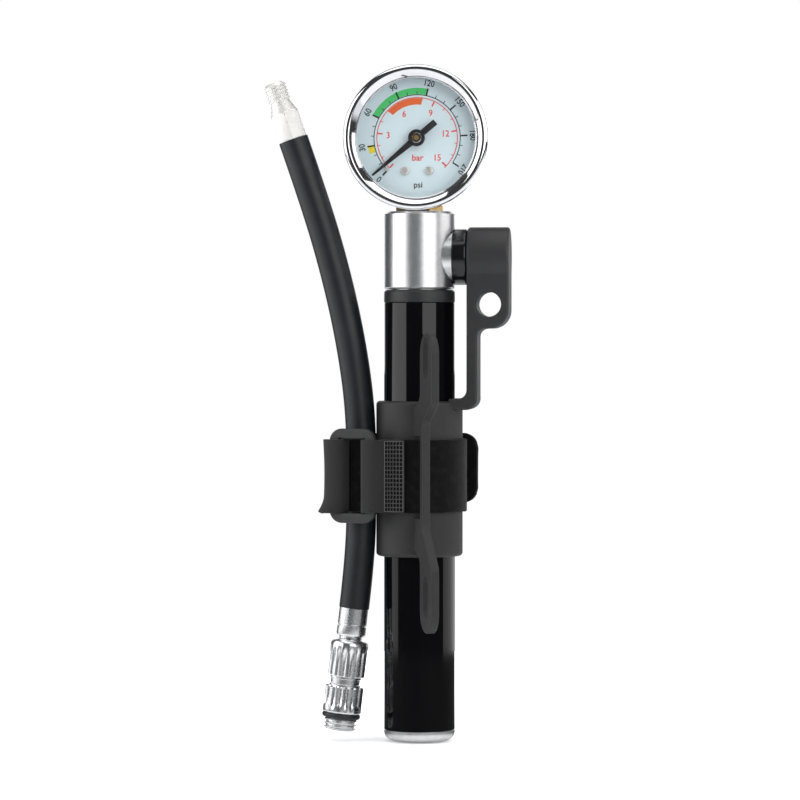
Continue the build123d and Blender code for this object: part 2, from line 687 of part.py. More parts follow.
def hose_parts():
    points = [out(*point) for point in HOSE_ROUTE]
    save(hose_tube(points, hose_radii(points)), "hose")
    top = end_frame(points[0], points[1])
    save(top * hose_ferrule(), "hose_ferrule")
    save(top * hose_nipple(), "hose_nipple")
    foot = end_frame(points[-1], points[-2])
    ferrule = rod(4.25, 0, CHUCK_FERRULE_END) + rod(3.4, CHUCK_FERRULE_END, CHUCK_START - 0.1)
    ferrule += rod(SWIVEL_R, CHUCK_START - 0.1, SWIVEL_END)
    save(foot * ferrule, "chuck_ferrule")
    collar = fluted(CHUCK_COLLAR_R, CHUCK_START, CHUCK_COLLAR_END, FLUTE_COUNT, FLUTE_DEPTH)
    collar += rod(4.6, CHUCK_COLLAR_END, CHUCK_NUT_START)
    save(foot * (collar - rod(SWIVEL_R + 0.06, CHUCK_START - 1, SWIVEL_END + 0.5)), "chuck_collar")
    nut = fluted(CHUCK_NUT_R, CHUCK_NUT_START, CHUCK_NUT_END, FLUTE_COUNT, FLUTE_DEPTH)
    nut += rod(CHUCK_THREAD_R, CHUCK_NUT_END, CHUCK_END)
    nut -= rod(CHUCK_BORE_R, CHUCK_BORE_START, CHUCK_END + 1)
    nut -= rod(SEAL_R, SEAL_START, CHUCK_BORE_START)
    save(foot * nut, "chuck_nut")
    save(foot * tube(5.65, CHUCK_THREAD_R, CHUCK_NUT_END, CHUCK_NUT_END + 1.5), "chuck_o_ring")
    save(foot * tube(SEAL_R, 1.4, SEAL_START, CHUCK_BORE_START), "chuck_seal")


os.makedirs("parts", exist_ok=True)
handle_parts()
core_parts()
outlet_parts()
gauge_parts()
save(frame_bracket(), "frame_bracket")
strap_parts()
hose_parts()
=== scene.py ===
from math import acos, atan2, ceil, cos, degrees, hypot, pi, radians, sin, sqrt

import bpy
from mathutils import Matrix, Vector, noise


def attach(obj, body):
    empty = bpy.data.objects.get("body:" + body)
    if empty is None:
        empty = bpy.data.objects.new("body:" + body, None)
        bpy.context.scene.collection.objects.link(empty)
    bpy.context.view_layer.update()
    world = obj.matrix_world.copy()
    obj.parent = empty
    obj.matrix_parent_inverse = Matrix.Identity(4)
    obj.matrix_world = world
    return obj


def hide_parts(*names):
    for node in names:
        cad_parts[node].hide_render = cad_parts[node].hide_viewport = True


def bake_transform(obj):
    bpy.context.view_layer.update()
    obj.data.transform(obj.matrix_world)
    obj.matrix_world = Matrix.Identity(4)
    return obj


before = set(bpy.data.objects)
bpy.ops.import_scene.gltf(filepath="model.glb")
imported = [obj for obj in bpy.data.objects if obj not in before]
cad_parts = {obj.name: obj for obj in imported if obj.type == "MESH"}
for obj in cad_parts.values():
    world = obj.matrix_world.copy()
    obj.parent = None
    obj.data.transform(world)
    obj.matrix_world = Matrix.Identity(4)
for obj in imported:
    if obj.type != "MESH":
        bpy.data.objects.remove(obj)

MM = 0.001
bpy.ops.object.select_all(action="DESELECT")
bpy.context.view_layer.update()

# ------------------------------------------------------------------ places, in millimetres

HEAD_TURN = radians(-20)
STRAP_TURN = radians(-14.5)
HOSE_TURN = radians(165.5)
PORT_HEIGHT = 142.5
GAUGE_HEIGHT = 177.1
POINTER_REST = 220


def shift(x, y, z):
    """A move by millimetres."""
    return Matrix.Translation((x * MM, y * MM, z * MM))


def turn_about(axis, angle):
    """A turn about an axis by degrees."""
    return Matrix.Rotation(radians(angle), 4, axis)


def stretch(x, y, z):
    """A unit shape made this many millimetres long each way."""
    return Matrix.Diagonal((x * MM, y * MM, z * MM, 1))


HEAD = Matrix.Rotation(HEAD_TURN, 4, "Z")
STRAP = Matrix.Rotation(STRAP_TURN, 4, "Z")
ACROSS = shift(0, 0, PORT_HEIGHT) @ turn_about("Y", 90)
PORT = HEAD @ ACROSS
GAUGE = HEAD @ shift(0, 0, GAUGE_HEIGHT) @ turn_about("X", 90)


# ------------------------------------------------------------------ studio

CAMERA_SIDE = radians(-104.5)


def studio():
    """The camera, the white air, the softboxes and the floor."""
    scene = bpy.context.scene
    scene.view_settings.view_transform = "Standard"
    scene.view_settings.look = "None"
    lens = bpy.data.cameras.new("studio_camera")
    lens.sensor_width = 36
    lens.lens = 157.5
    camera = bpy.data.objects.new("studio_camera", lens)
    scene.collection.objects.link(camera)
    distance, height, aside, look_down = 1.033, 0.118, 0.00575, 0.98
    camera.location = (
        cos(CAMERA_SIDE) * distance + sin(CAMERA_SIDE) * aside,
        sin(CAMERA_SIDE) * distance - cos(CAMERA_SIDE) * aside,
        height,
    )
    camera.rotation_euler = (radians(90 - look_down), 0, CAMERA_SIDE + pi / 2)
    scene.camera = camera
    studio_air()
    for name, turn, distance, width, heights, glow in (
        ("left_upper_softbox", -77, 0.62, 0.8, (0.07, 0.62), 2.0),
        ("left_lower_softbox", -100, 0.60, 0.58, (-0.35, 0.06), 1.0),
        ("right_upper_softbox", 32, 0.72, 0.6, (0.09, 0.7), 2.0),
        ("right_lower_softbox", 120, 0.60, 0.9, (-0.35, 0.07), 0.9),
        ("right_high_softbox", 92, 0.60, 0.5, (0.165, 0.6), 1.8),
        ("back_softbox", 180, 0.9, 0.9, (0.1, 0.7), 1.3),
    ):
        upright_softbox(name, turn, distance, width, heights, glow)
    softbox("top_softbox", Vector((0, -0.1, 0.85)), (0.9, 0.8), 1.6, 0.1)
    floor()


def studio_air():
    """White to look at, a soft even light on the object, and dim in reflections."""
    world = bpy.data.worlds.new("studio_air")
    bpy.context.scene.world = world
    world.use_nodes = True
    tree = world.node_tree
    tree.nodes.clear()
    out = tree.nodes.new("ShaderNodeOutputWorld")
    ray = tree.nodes.new("ShaderNodeLightPath")
    last = None
    for kind, colour, strength in (
        (None, (0.93, 0.96, 1.0, 1), 0.45),
        ("Is Glossy Ray", (0.93, 0.95, 1.0, 1), 0.05),
        ("Is Camera Ray", (1, 1, 1, 1), 1.0),
    ):
        air = tree.nodes.new("ShaderNodeBackground")
        air.inputs["Color"].default_value = colour
        air.inputs["Strength"].default_value = strength
        if kind == "Is Glossy Ray":
            tree.links.new(table_glow(tree, strength), air.inputs["Strength"])
        if last is not None:
            pick = tree.nodes.new("ShaderNodeMixShader")
            tree.links.new(ray.outputs[kind], pick.inputs[0])
            tree.links.new(last.outputs[0], pick.inputs[1])
            tree.links.new(air.outputs[0], pick.inputs[2])
            air = pick
        last = air
    tree.links.new(last.outputs[0], out.inputs[0])


def table_glow(tree, dim):
    """What a mirror sees: dim sideways and above, and a white table from a little below level."""
    place = tree.nodes.new("ShaderNodeTexCoord")
    split = tree.nodes.new("ShaderNodeSeparateXYZ")
    tree.links.new(place.outputs["Generated"], split.inputs[0])
    table_top, table_full, table_white = -0.2, -0.34, 0.95
    return spread_value(tree, split.outputs["Z"], dim, table_white, table_top, table_full)


def softbox(name, place, size, glow, aim_height):
    """A soft light aimed at the pump's axis; glow is how bright its face is."""
    light = bpy.data.lights.new(name, "AREA")
    light.shape = "RECTANGLE"
    light.size, light.size_y = size
    light.energy = glow * pi * size[0] * size[1]
    lamp = bpy.data.objects.new(name, light)
    bpy.context.scene.collection.objects.link(lamp)
    lamp.location = place
    aim = Vector((0, 0, aim_height)) - place
    lamp.rotation_euler = aim.to_track_quat("-Z", "Y").to_euler()


def upright_softbox(name, turn, distance, width, heights, glow):
    """A softbox on edge, turned about the pump from the camera's side."""
    side = CAMERA_SIDE + radians(turn)
    middle = (heights[0] + heights[1]) / 2
    place = Vector((distance * cos(side), distance * sin(side), middle))
    softbox(name, place, (width, heights[1] - heights[0]), glow, place.z)


def floor():
    """A small round floor, palest at its rim, where it meets the white air, and dim in low mirrors."""
    radius, drop = 0.3, 0.0004
    pale_from, pale_to = 0.03, 0.16
    low_from, low_to = 0.66, 0.8
    bpy.ops.mesh.primitive_circle_add(vertices=96, radius=radius, fill_type="NGON", location=(0, 0, -drop))
    disc = bpy.context.active_object
    disc.name = "studio_floor"
    white, shader, tree = new_material("studio_white")
    place = node(tree, "ShaderNodeTexCoord")
    reach = node(tree, "ShaderNodeVectorMath", operation="LENGTH")
    tree.links.new(place.outputs["Object"], reach.inputs[0])
    fade = spread_value(tree, reach.outputs["Value"], 0, 1, pale_from, pale_to)
    shader.inputs["Roughness"].default_value = 0.9
    shader.inputs["Emission Color"].default_value = (1, 1, 1, 1)
    ray = node(tree, "ShaderNodeLightPath")
    level = node(tree, "ShaderNodeLayerWeight")
    low = spread_value(tree, level.outputs["Facing"], 0, 1, low_from, low_to)
    hidden = calc(tree, "MULTIPLY", low, ray.outputs["Is Glossy Ray"])
    pale = calc(tree, "SUBTRACT", 0.9, calc(tree, "MULTIPLY", hidden, 0.86))
    tree.links.new(pale, shader.inputs["Base Color"])
    rim_glow = calc(tree, "ADD", calc(tree, "MULTIPLY", fade, 0.7), 0.3)
    glow = calc(tree, "MULTIPLY", rim_glow, ray.outputs["Is Camera Ray"])
    tree.links.new(glow, shader.inputs["Emission Strength"])
    disc.data.materials.append(white)


# ------------------------------------------------------------------ material groups

def new_material(name):
    """A material with an empty Principled shader, and its tree."""
    material = bpy.data.materials.new(name)
    material.use_nodes = True
    tree = material.node_tree
    tree.nodes.clear()
    out = tree.nodes.new("ShaderNodeOutputMaterial")
    shader = tree.nodes.new("ShaderNodeBsdfPrincipled")
    tree.links.new(shader.outputs[0], out.inputs[0])
    return material, shader, tree


def new_group(name, inputs, outputs):
    """An empty node group with its sockets, and the nodes for its inputs and outputs."""
    group = bpy.data.node_groups.new(name, "ShaderNodeTree")
    for title, kind, value in inputs:
        socket = group.interface.new_socket(title, in_out="INPUT", socket_type=kind)
        socket.default_value = value
    for title, kind in outputs:
        group.interface.new_socket(title, in_out="OUTPUT", socket_type=kind)
    return group, group.nodes.new("NodeGroupInput"), group.nodes.new("NodeGroupOutput")


def node(tree, kind, **settings):
    """Adds a node with its settings."""
    made = tree.nodes.new(kind)
    for key, value in settings.items():
        setattr(made, key, value)
    return made


def calc(tree, operation, first, second=None):
    """Arithmetic on one or two values, each a number or another node's output."""
    made = node(tree, "ShaderNodeMath", operation=operation)
    for slot, value in enumerate((first, second)):
        if value is None:
            continue
        if isinstance(value, (int, float)):
            made.inputs[slot].default_value = value
        else:
            tree.links.new(value, made.inputs[slot])
    return made.outputs[0]


def spread_value(tree, value, low, high, start=0.0, end=1.0):
    """A value that runs from start to end, spread between low and high."""
    made = node(tree, "ShaderNodeMapRange", clamp=True)
    for socket, number in (("From Min", start), ("From Max", end), ("To Min", low), ("To Max", high)):
        made.inputs[socket].default_value = number
    tree.links.new(value, made.inputs["Value"])
    return made.outputs[0]


FLOAT = "NodeSocketFloat"


def surface_grain_group():
    """Fine even grain: two sizes of noise in object coordinates, 0 to 1."""
    group, source, result = new_group(
        "surface_grain", [("Size mm", FLOAT, 0.3), ("Coarse share", FLOAT, 0.3)], [("Grain", FLOAT)]
    )
    place = node(group, "ShaderNodeTexCoord")
    per_metre = calc(group, "DIVIDE", 1000.0, source.outputs["Size mm"])
    fine = node(group, "ShaderNodeTexNoise")
    fine.inputs["Detail"].default_value = 3
    coarse = node(group, "ShaderNodeTexNoise")
    coarse.inputs["Detail"].default_value = 2
    for texture, factor in ((fine, 1.0), (coarse, 0.12)):
        group.links.new(place.outputs["Object"], texture.inputs["Vector"])
        group.links.new(calc(group, "MULTIPLY", per_metre, factor), texture.inputs["Scale"])
    share = source.outputs["Coarse share"]
    part = calc(group, "MULTIPLY", coarse.outputs["Fac"], share)
    rest = calc(group, "MULTIPLY", fine.outputs["Fac"], calc(group, "SUBTRACT", 1.0, share))
    group.links.new(calc(group, "ADD", part, rest), result.inputs["Grain"])
    return group


def turning_lines_group():
    """Fine rings left by a lathe: noise squeezed along Z, 0 to 1."""
    group, source, result = new_group(
        "turning_lines", [("Lines per mm", FLOAT, 6.0), ("Across", FLOAT, 0.02)], [("Lines", FLOAT)]
    )
    place = node(group, "ShaderNodeTexCoord")
    split = node(group, "ShaderNodeSeparateXYZ")
    join = node(group, "ShaderNodeCombineXYZ")
    group.links.new(place.outputs["Object"], split.inputs[0])
    up = calc(group, "MULTIPLY", source.outputs["Lines per mm"], 1000.0)
    side = calc(group, "MULTIPLY", up, source.outputs["Across"])
    group.links.new(calc(group, "MULTIPLY", split.outputs["X"], side), join.inputs["X"])
    group.links.new(calc(group, "MULTIPLY", split.outputs["Y"], side), join.inputs["Y"])
    group.links.new(calc(group, "MULTIPLY", split.outputs["Z"], up), join.inputs["Z"])
    texture = node(group, "ShaderNodeTexNoise")
    texture.inputs["Scale"].default_value = 1.0
    texture.inputs["Detail"].default_value = 2
    group.links.new(join.outputs[0], texture.inputs["Vector"])
    group.links.new(texture.outputs["Fac"], result.inputs["Lines"])
    return group


def handling_group():
    """Sparse faint smears and specks from handling, 0 to 1."""
    group, source, result = new_group(
        "handling_marks", [("Patch mm", FLOAT, 9.0), ("Amount", FLOAT, 0.4)], [("Marks", FLOAT)]
    )
    place = node(group, "ShaderNodeTexCoord")
    smear = node(group, "ShaderNodeTexNoise")
    smear.inputs["Detail"].default_value = 5
    smear.inputs["Roughness"].default_value = 0.62
    speck = node(group, "ShaderNodeTexVoronoi")
    group.links.new(place.outputs["Object"], smear.inputs["Vector"])
    group.links.new(place.outputs["Object"], speck.inputs["Vector"])
    per_metre = calc(group, "DIVIDE", 1000.0, source.outputs["Patch mm"])
    group.links.new(per_metre, smear.inputs["Scale"])
    group.links.new(calc(group, "MULTIPLY", per_metre, 6.0), speck.inputs["Scale"])
    cloud = spread_value(group, smear.outputs["Fac"], 0, 1, 0.5, 0.75)
    dots = spread_value(group, speck.outputs["Distance"], 0, 1, 0.07, 0.03)
    both = calc(group, "MAXIMUM", cloud, calc(group, "MULTIPLY", dots, 0.8))
    group.links.new(calc(group, "MULTIPLY", both, source.outputs["Amount"]), result.inputs["Marks"])
    return group


def weave_group():
    """A plain weave on a strap's own length and width in millimetres, as height 0 to 1."""
    group, source, result = new_group(
        "strap_weave", [("Threads per mm", FLOAT, 1.6), ("Fuzz", FLOAT, 0.3)], [("Height", FLOAT)]
    )
    place = node(group, "ShaderNodeUVMap", uv_map="strap_mm")
    split = node(group, "ShaderNodeSeparateXYZ")
    group.links.new(place.outputs[0], split.inputs[0])
    turns = calc(group, "MULTIPLY", source.outputs["Threads per mm"], pi)
    along = calc(group, "SINE", calc(group, "MULTIPLY", split.outputs["X"], turns))
    across = calc(group, "SINE", calc(group, "MULTIPLY", split.outputs["Y"], turns))
    ribs = calc(group, "MULTIPLY", along, calc(group, "ADD", calc(group, "MULTIPLY", across, 0.3), 0.7))
    half = calc(group, "ADD", calc(group, "MULTIPLY", ribs, 0.5), 0.5)
    fuzz = node(group, "ShaderNodeTexNoise")
    fuzz.inputs["Scale"].default_value = 5.0
    fuzz.inputs["Detail"].default_value = 4
    group.links.new(place.outputs[0], fuzz.inputs["Vector"])
    share = source.outputs["Fuzz"]
    soft = calc(group, "MULTIPLY", fuzz.outputs["Fac"], share)
    firm = calc(group, "MULTIPLY", half, calc(group, "SUBTRACT", 1.0, share))
    group.links.new(calc(group, "ADD", soft, firm), result.inputs["Height"])
    return group


GRAIN = surface_grain_group()
LINES = turning_lines_group()
MARKS = handling_group()
WEAVE = weave_group()


def place_group(tree, group, **values):
    """A group in a material; a value's name has _ for each space of its socket's."""
    made = node(tree, "ShaderNodeGroup", node_tree=group)
    for key, value in values.items():
        made.inputs[key.replace("_", " ")].default_value = value
    return made.outputs[0]


def tint(tree, shader, value, low, high, narrow=(0.0, 1.0)):
    """Colours the surface between two colours by a 0 to 1 value."""
    ramp = node(tree, "ShaderNodeValToRGB")
    ramp.color_ramp.elements[0].position = narrow[0]
    ramp.color_ramp.elements[1].position = narrow[1]
    ramp.color_ramp.elements[0].color = (*low, 1)
    ramp.color_ramp.elements[1].color = (*high, 1)
    tree.links.new(value, ramp.inputs[0])
    tree.links.new(ramp.outputs[0], shader.inputs["Base Color"])


def polish(tree, shader, value, low, high):
    """Spreads the surface's roughness between two numbers by a 0 to 1 value."""
    tree.links.new(spread_value(tree, value, low, high), shader.inputs["Roughness"])


def bump(tree, shader, height, depth_mm, strength):
    """Roughens the surface by a 0 to 1 height, as deep as given."""
    made = node(tree, "ShaderNodeBump")
    made.inputs["Strength"].default_value = strength
    made.inputs["Distance"].default_value = depth_mm * MM
    tree.links.new(height, made.inputs["Height"])
    tree.links.new(made.outputs[0], shader.inputs["Normal"])


# ------------------------------------------------------------------ materials

def gloss_anodise():
    """Polished black anodised tube."""
    material, shader, tree = new_material("gloss_anodise")
    marks = place_group(tree, MARKS, Patch_mm=14.0, Amount=0.35)
    lines = place_group(tree, LINES, Lines_per_mm=5.0, Across=0.03)
    tint(tree, shader, marks, (0.002, 0.002, 0.0025), (0.004, 0.004, 0.0045))
    rough = calc(tree, "ADD", spread_value(tree, marks, 0.06, 0.14), calc(tree, "MULTIPLY", lines, 0.03))
    tree.links.new(rough, shader.inputs["Roughness"])
    shader.inputs["Specular IOR Level"].default_value = 0.42
    bump(tree, shader, lines, 0.003, 0.3)
    return material


def gloss_moulding():
    """Glossy black moulded plastic."""
    material, shader, tree = new_material("gloss_moulding")
    marks = place_group(tree, MARKS, Patch_mm=8.0, Amount=0.5)
    tint(tree, shader, marks, (0.006, 0.006, 0.007), (0.012, 0.012, 0.013))
    polish(tree, shader, marks, 0.16, 0.3)
    bump(tree, shader, place_group(tree, GRAIN, Size_mm=0.8, Coarse_share=0.5), 0.01, 0.25)
    return material


def satin_aluminium():
    """Bead blasted and anodised head and end cap."""
    material, shader, tree = new_material("satin_aluminium")
    grain = place_group(tree, GRAIN, Size_mm=0.22, Coarse_share=0.25)
    tint(tree, shader, grain, (0.70, 0.70, 0.71), (0.95, 0.95, 0.95), (0.3, 0.7))
    polish(tree, shader, grain, 0.24, 0.4)
    shader.inputs["Metallic"].default_value = 1.0
    bump(tree, shader, grain, 0.008, 0.45)
    return material


def bright_plate(name, plate, rough_low, rough_high, depth=0.004):
    """Bright plated metal with faint turning lines."""
    material, shader, tree = new_material(name)
    lines = place_group(tree, LINES, Lines_per_mm=3.0, Across=0.05)
    marks = place_group(tree, MARKS, Patch_mm=6.0, Amount=0.5)
    shade = calc(tree, "ADD", calc(tree, "MULTIPLY", lines, 0.4), calc(tree, "MULTIPLY", marks, 0.6))
    darker = tuple(0.82 * c for c in plate)
    tint(tree, shader, shade, plate, darker)
    polish(tree, shader, shade, rough_low, rough_high)
    shader.inputs["Metallic"].default_value = 1.0
    bump(tree, shader, lines, depth, 0.3)
    return material


def brushed_brass():
    """Turned brass with tarnished patches."""
    material, shader, tree = new_material("brushed_brass")
    lines = place_group(tree, LINES, Lines_per_mm=5.0, Across=0.1)
    marks = place_group(tree, MARKS, Patch_mm=4.0, Amount=0.7)
    tint(tree, shader, marks, (0.62, 0.44, 0.2), (0.36, 0.24, 0.1))
    polish(tree, shader, lines, 0.2, 0.42)
    shader.inputs["Metallic"].default_value = 1.0
    bump(tree, shader, lines, 0.006, 0.4)
    return material


def moulded_nylon(name, low, high, rough, grain_mm=0.35, depth=0.02):
    """Matte moulded plastic with a spark textured skin and paler rubbed patches."""
    material, shader, tree = new_material(name)
    grain = place_group(tree, GRAIN, Size_mm=grain_mm, Coarse_share=0.35)
    marks = place_group(tree, MARKS, Patch_mm=10.0, Amount=0.6)
    shade = calc(tree, "ADD", calc(tree, "MULTIPLY", grain, 0.6), calc(tree, "MULTIPLY", marks, 0.4))
    tint(tree, shader, shade, low, high, (0.2, 0.8))
    polish(tree, shader, grain, rough - 0.08, rough + 0.1)
    bump(tree, shader, grain, depth, 0.6)
    return material


def hose_skin():
    """Extruded rubber with a bloom of dust."""
    material, shader, tree = new_material("hose_skin")
    grain = place_group(tree, GRAIN, Size_mm=0.3, Coarse_share=0.5)
    marks = place_group(tree, MARKS, Patch_mm=7.0, Amount=0.7)
    tint(tree, shader, marks, (0.006, 0.0085, 0.0115), (0.015, 0.0185, 0.024))
    polish(tree, shader, grain, 0.34, 0.5)
    bump(tree, shader, grain, 0.012, 0.5)
    return material


def velour():
    """Black loop pile: dark, rough, with a soft sheen and lint."""
    material, shader, tree = new_material("velour")
    pile = place_group(tree, WEAVE, Threads_per_mm=3.2, Fuzz=0.8)
    lint = place_group(tree, MARKS, Patch_mm=2.2, Amount=0.8)
    tint(tree, shader, lint, (0.0035, 0.0033, 0.0036), (0.012, 0.012, 0.0125))
    polish(tree, shader, pile, 0.8, 1.0)
    shader.inputs["Specular IOR Level"].default_value = 0.15
    shader.inputs["Sheen Weight"].default_value = 0.12
    shader.inputs["Sheen Roughness"].default_value = 0.4
    bump(tree, shader, pile, 0.25, 0.8)
    return material


def webbing():
    """Woven nylon side of the strap."""
    material, shader, tree = new_material("webbing")
    weave = place_group(tree, WEAVE, Threads_per_mm=3.6, Fuzz=0.55)
    tint(tree, shader, weave, (0.005, 0.005, 0.0052), (0.03, 0.0295, 0.029))
    polish(tree, shader, weave, 0.6, 0.85)
    shader.inputs["Specular IOR Level"].default_value = 0.3
    shader.inputs["Sheen Weight"].default_value = 0.1
    bump(tree, shader, weave, 0.18, 0.7)
    return material


def welded_web():
    """Nylon web pressed flat and shiny, with painted shade making it dark down in its pits."""
    material, shader, tree = new_material("welded_web")
    grain = place_group(tree, GRAIN, Size_mm=0.25, Coarse_share=0.4)
    # painted shade: the pits' floors, marked by a vertex attribute, are coloured near black to stand in for
    # the shade down in the pits
    pit_shade_mask = node(tree, "ShaderNodeAttribute", attribute_name="pit_shade_mask")
    rim = calc(tree, "SUBTRACT", 1.0, pit_shade_mask.outputs["Fac"])
    shade = calc(tree, "MULTIPLY", spread_value(tree, grain, 0.5, 1.0), rim)
    tint(tree, shader, shade, (0.0005, 0.0005, 0.0005), (0.15, 0.15, 0.147))
    polish(tree, shader, grain, 0.5, 0.7)
    shader.inputs["Specular IOR Level"].default_value = 0.12
    bump(tree, shader, grain, 0.03, 0.6)
    return material


def dial_face():
    """Pale blue painted plate."""
    material, shader, tree = new_material("dial_face")
    grain = place_group(tree, GRAIN, Size_mm=0.5, Coarse_share=0.6)
    tint(tree, shader, grain, (0.76, 0.93, 1.0), (0.83, 0.97, 1.0))
    polish(tree, shader, grain, 0.45, 0.6)
    return material


def ink(name, colour):
    """Printing ink on the dial."""
    material, shader, tree = new_material(name)
    grain = place_group(tree, GRAIN, Size_mm=0.25, Coarse_share=0.3)
    paler = tuple(min(1.0, 1.15 * c + 0.01) for c in colour)
    tint(tree, shader, grain, colour, paler)
    polish(tree, shader, grain, 0.4, 0.55)
    return material


def clear_lens():
    """Clear glass that lets lamps through, so that the dial is lit behind it."""
    material, shader, tree = new_material("clear_lens")
    marks = place_group(tree, MARKS, Patch_mm=12.0, Amount=0.3)
    shader.inputs["Base Color"].default_value = (1, 1, 1, 1)
    shader.inputs["Transmission Weight"].default_value = 1.0
    shader.inputs["IOR"].default_value = 1.38
    polish(tree, shader, marks, 0.0, 0.05)
    ray = node(tree, "ShaderNodeLightPath")
    clear = node(tree, "ShaderNodeBsdfTransparent")
    mix = node(tree, "ShaderNodeMixShader")
    tree.links.new(ray.outputs["Is Shadow Ray"], mix.inputs[0])
    tree.links.new(shader.outputs[0], mix.inputs[1])
    tree.links.new(clear.outputs[0], mix.inputs[2])
    tree.links.new(mix.outputs[0], tree.nodes["Material Output"].inputs[0])
    return material


ANODISE = gloss_anodise()
GLOSS = gloss_moulding()
SATIN = satin_aluminium()
CHROME = bright_plate("chrome_plate", (0.86, 0.86, 0.88), 0.05, 0.14)
FITTING = bright_plate("fitting_plate", (0.97, 0.97, 0.98), 0.24, 0.36)
NICKEL = bright_plate("nickel_plate", (0.93, 0.92, 0.89), 0.56, 0.7, 0.001)
SCREW = bright_plate("screw_plate", (0.86, 0.85, 0.82), 0.42, 0.6)
STEEL = bright_plate("drawn_steel", (0.6, 0.6, 0.61), 0.2, 0.35)
BRASS = brushed_brass()
NYLON = moulded_nylon("bracket_nylon", (0.015, 0.0147, 0.015), (0.029, 0.0285, 0.029), 0.55)
RING_NYLON = moulded_nylon("buckle_nylon", (0.022, 0.022, 0.023), (0.042, 0.042, 0.043), 0.5)
GUIDE_NYLON = moulded_nylon("guide_nylon", (0.016, 0.016, 0.017), (0.03, 0.03, 0.031), 0.45)
RUBBER = moulded_nylon("cap_rubber", (0.018, 0.018, 0.019), (0.034, 0.034, 0.035), 0.5, 0.5, 0.015)
SEAL = moulded_nylon("seal_rubber", (0.012, 0.012, 0.013), (0.022, 0.022, 0.023), 0.42, 0.4, 0.01)
HOSE = hose_skin()
VELOUR = velour()
WEBBING = webbing()
DIAL = dial_face()
BLACK_INK = ink("black_ink", (0.004, 0.004, 0.005))
RED_INK = ink("red_ink", (0.85, 0.07, 0.06))
GREEN_INK = ink("green_ink", (0.08, 0.66, 0.18))
ORANGE_INK = ink("orange_ink", (0.95, 0.16, 0.035))
YELLOW_INK = ink("yellow_ink", (0.95, 0.74, 0.02))
LENS = clear_lens()
WELD = welded_web()


# ------------------------------------------------------------------ modelling helpers

def settle(piece, name, material, body="pump_body", replaces=(), place=None, smooth=32):
    """Names a piece, puts its place into its mesh, shades it and fixes it to its body, if it has one."""
    piece.name = name
    piece.data.name = name
    if place is not None:
        piece.data.transform(place)
    piece.data.materials.clear()
    piece.data.materials.append(material)
    bpy.ops.object.select_all(action="DESELECT")
    piece.select_set(True)
    bpy.context.view_layer.objects.active = piece
    if smooth:
        bpy.ops.object.shade_smooth_by_angle(angle=radians(smooth))
    if body:
        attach(piece, body)
    if replaces:
        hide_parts(*replaces)
    bpy.ops.object.select_all(action="DESELECT")


def apply(piece, kind, **settings):
    """Adds a modifier and applies it."""
    modifier = piece.modifiers.new(kind.lower(), kind)
    for key, value in settings.items():
        setattr(modifier, key, value)
    bpy.ops.object.select_all(action="DESELECT")
    piece.select_set(True)
    bpy.context.view_layer.objects.active = piece
    bpy.ops.object.modifier_apply(modifier=modifier.name)


def soften(piece, width, segments=3, angle=30):
    """Rounds the edges that are sharper than an angle."""
    apply(
        piece, "BEVEL", width=width * MM, segments=segments, limit_method="ANGLE",
        angle_limit=radians(angle), harden_normals=False,
    )


def joined(pieces):
    """Several pieces made one."""
    bpy.ops.object.select_all(action="DESELECT")
    for piece in pieces:
        piece.select_set(True)
    bpy.context.view_layer.objects.active = pieces[0]
    if len(pieces) > 1:
        bpy.ops.object.join()
    return bpy.context.active_object


def rounding(radius, height, round_mm, start, end, steps=5):
    """Points of an arc about (radius, height), angles in degrees from outwards to upwards."""
    points = []
    for step in range(steps + 1):
        angle = radians(start + (end - start) * step / steps)
        points.append((radius + round_mm * cos(angle), height + round_mm * sin(angle)))
    return points


def edit_all():
    """Enters edit mode with the whole mesh selected."""
    bpy.ops.object.mode_set(mode="EDIT")
    bpy.ops.mesh.select_all(action="SELECT")


def face_outwards(merge=None):
    """Merges the mesh's doubles if asked, turns its faces outwards and leaves edit mode."""
    bpy.ops.mesh.select_all(action="SELECT")
    if merge:
        bpy.ops.mesh.remove_doubles(threshold=merge)
    bpy.ops.mesh.normals_make_consistent(inside=False)
    bpy.ops.object.mode_set(mode="OBJECT")


def raise_outline(outline, sides, hollow=False):
    """A circle extruded and scaled through (radius, height) points, left in edit mode."""
    radius, height = outline[0]
    bpy.ops.mesh.primitive_circle_add(
        vertices=sides, radius=radius * MM, location=(0, 0, height * MM),
        fill_type="NOTHING" if hollow else "NGON",
    )
    bpy.ops.object.transform_apply(location=True, rotation=True, scale=True)
    edit_all()
    for next_radius, next_height in outline[1:]:
        rise = (0, 0, (next_height - height) * MM)
        bpy.ops.mesh.extrude_region_move(TRANSFORM_OT_translate={"value": rise})
        if next_radius != radius:
            grow = next_radius / radius
            bpy.ops.transform.resize(value=(grow, grow, 1), center_override=(0, 0, 0))
        radius, height = next_radius, next_height
    return bpy.context.active_object


def turned(outline, sides=96, hollow=False):
    """A turned piece along Z from (radius, height) points: capped at both ends, or a hollow ring."""
    piece = raise_outline(outline + outline[:1] if hollow else outline, sides, hollow)
    face_outwards(merge=0.000001)
    return piece


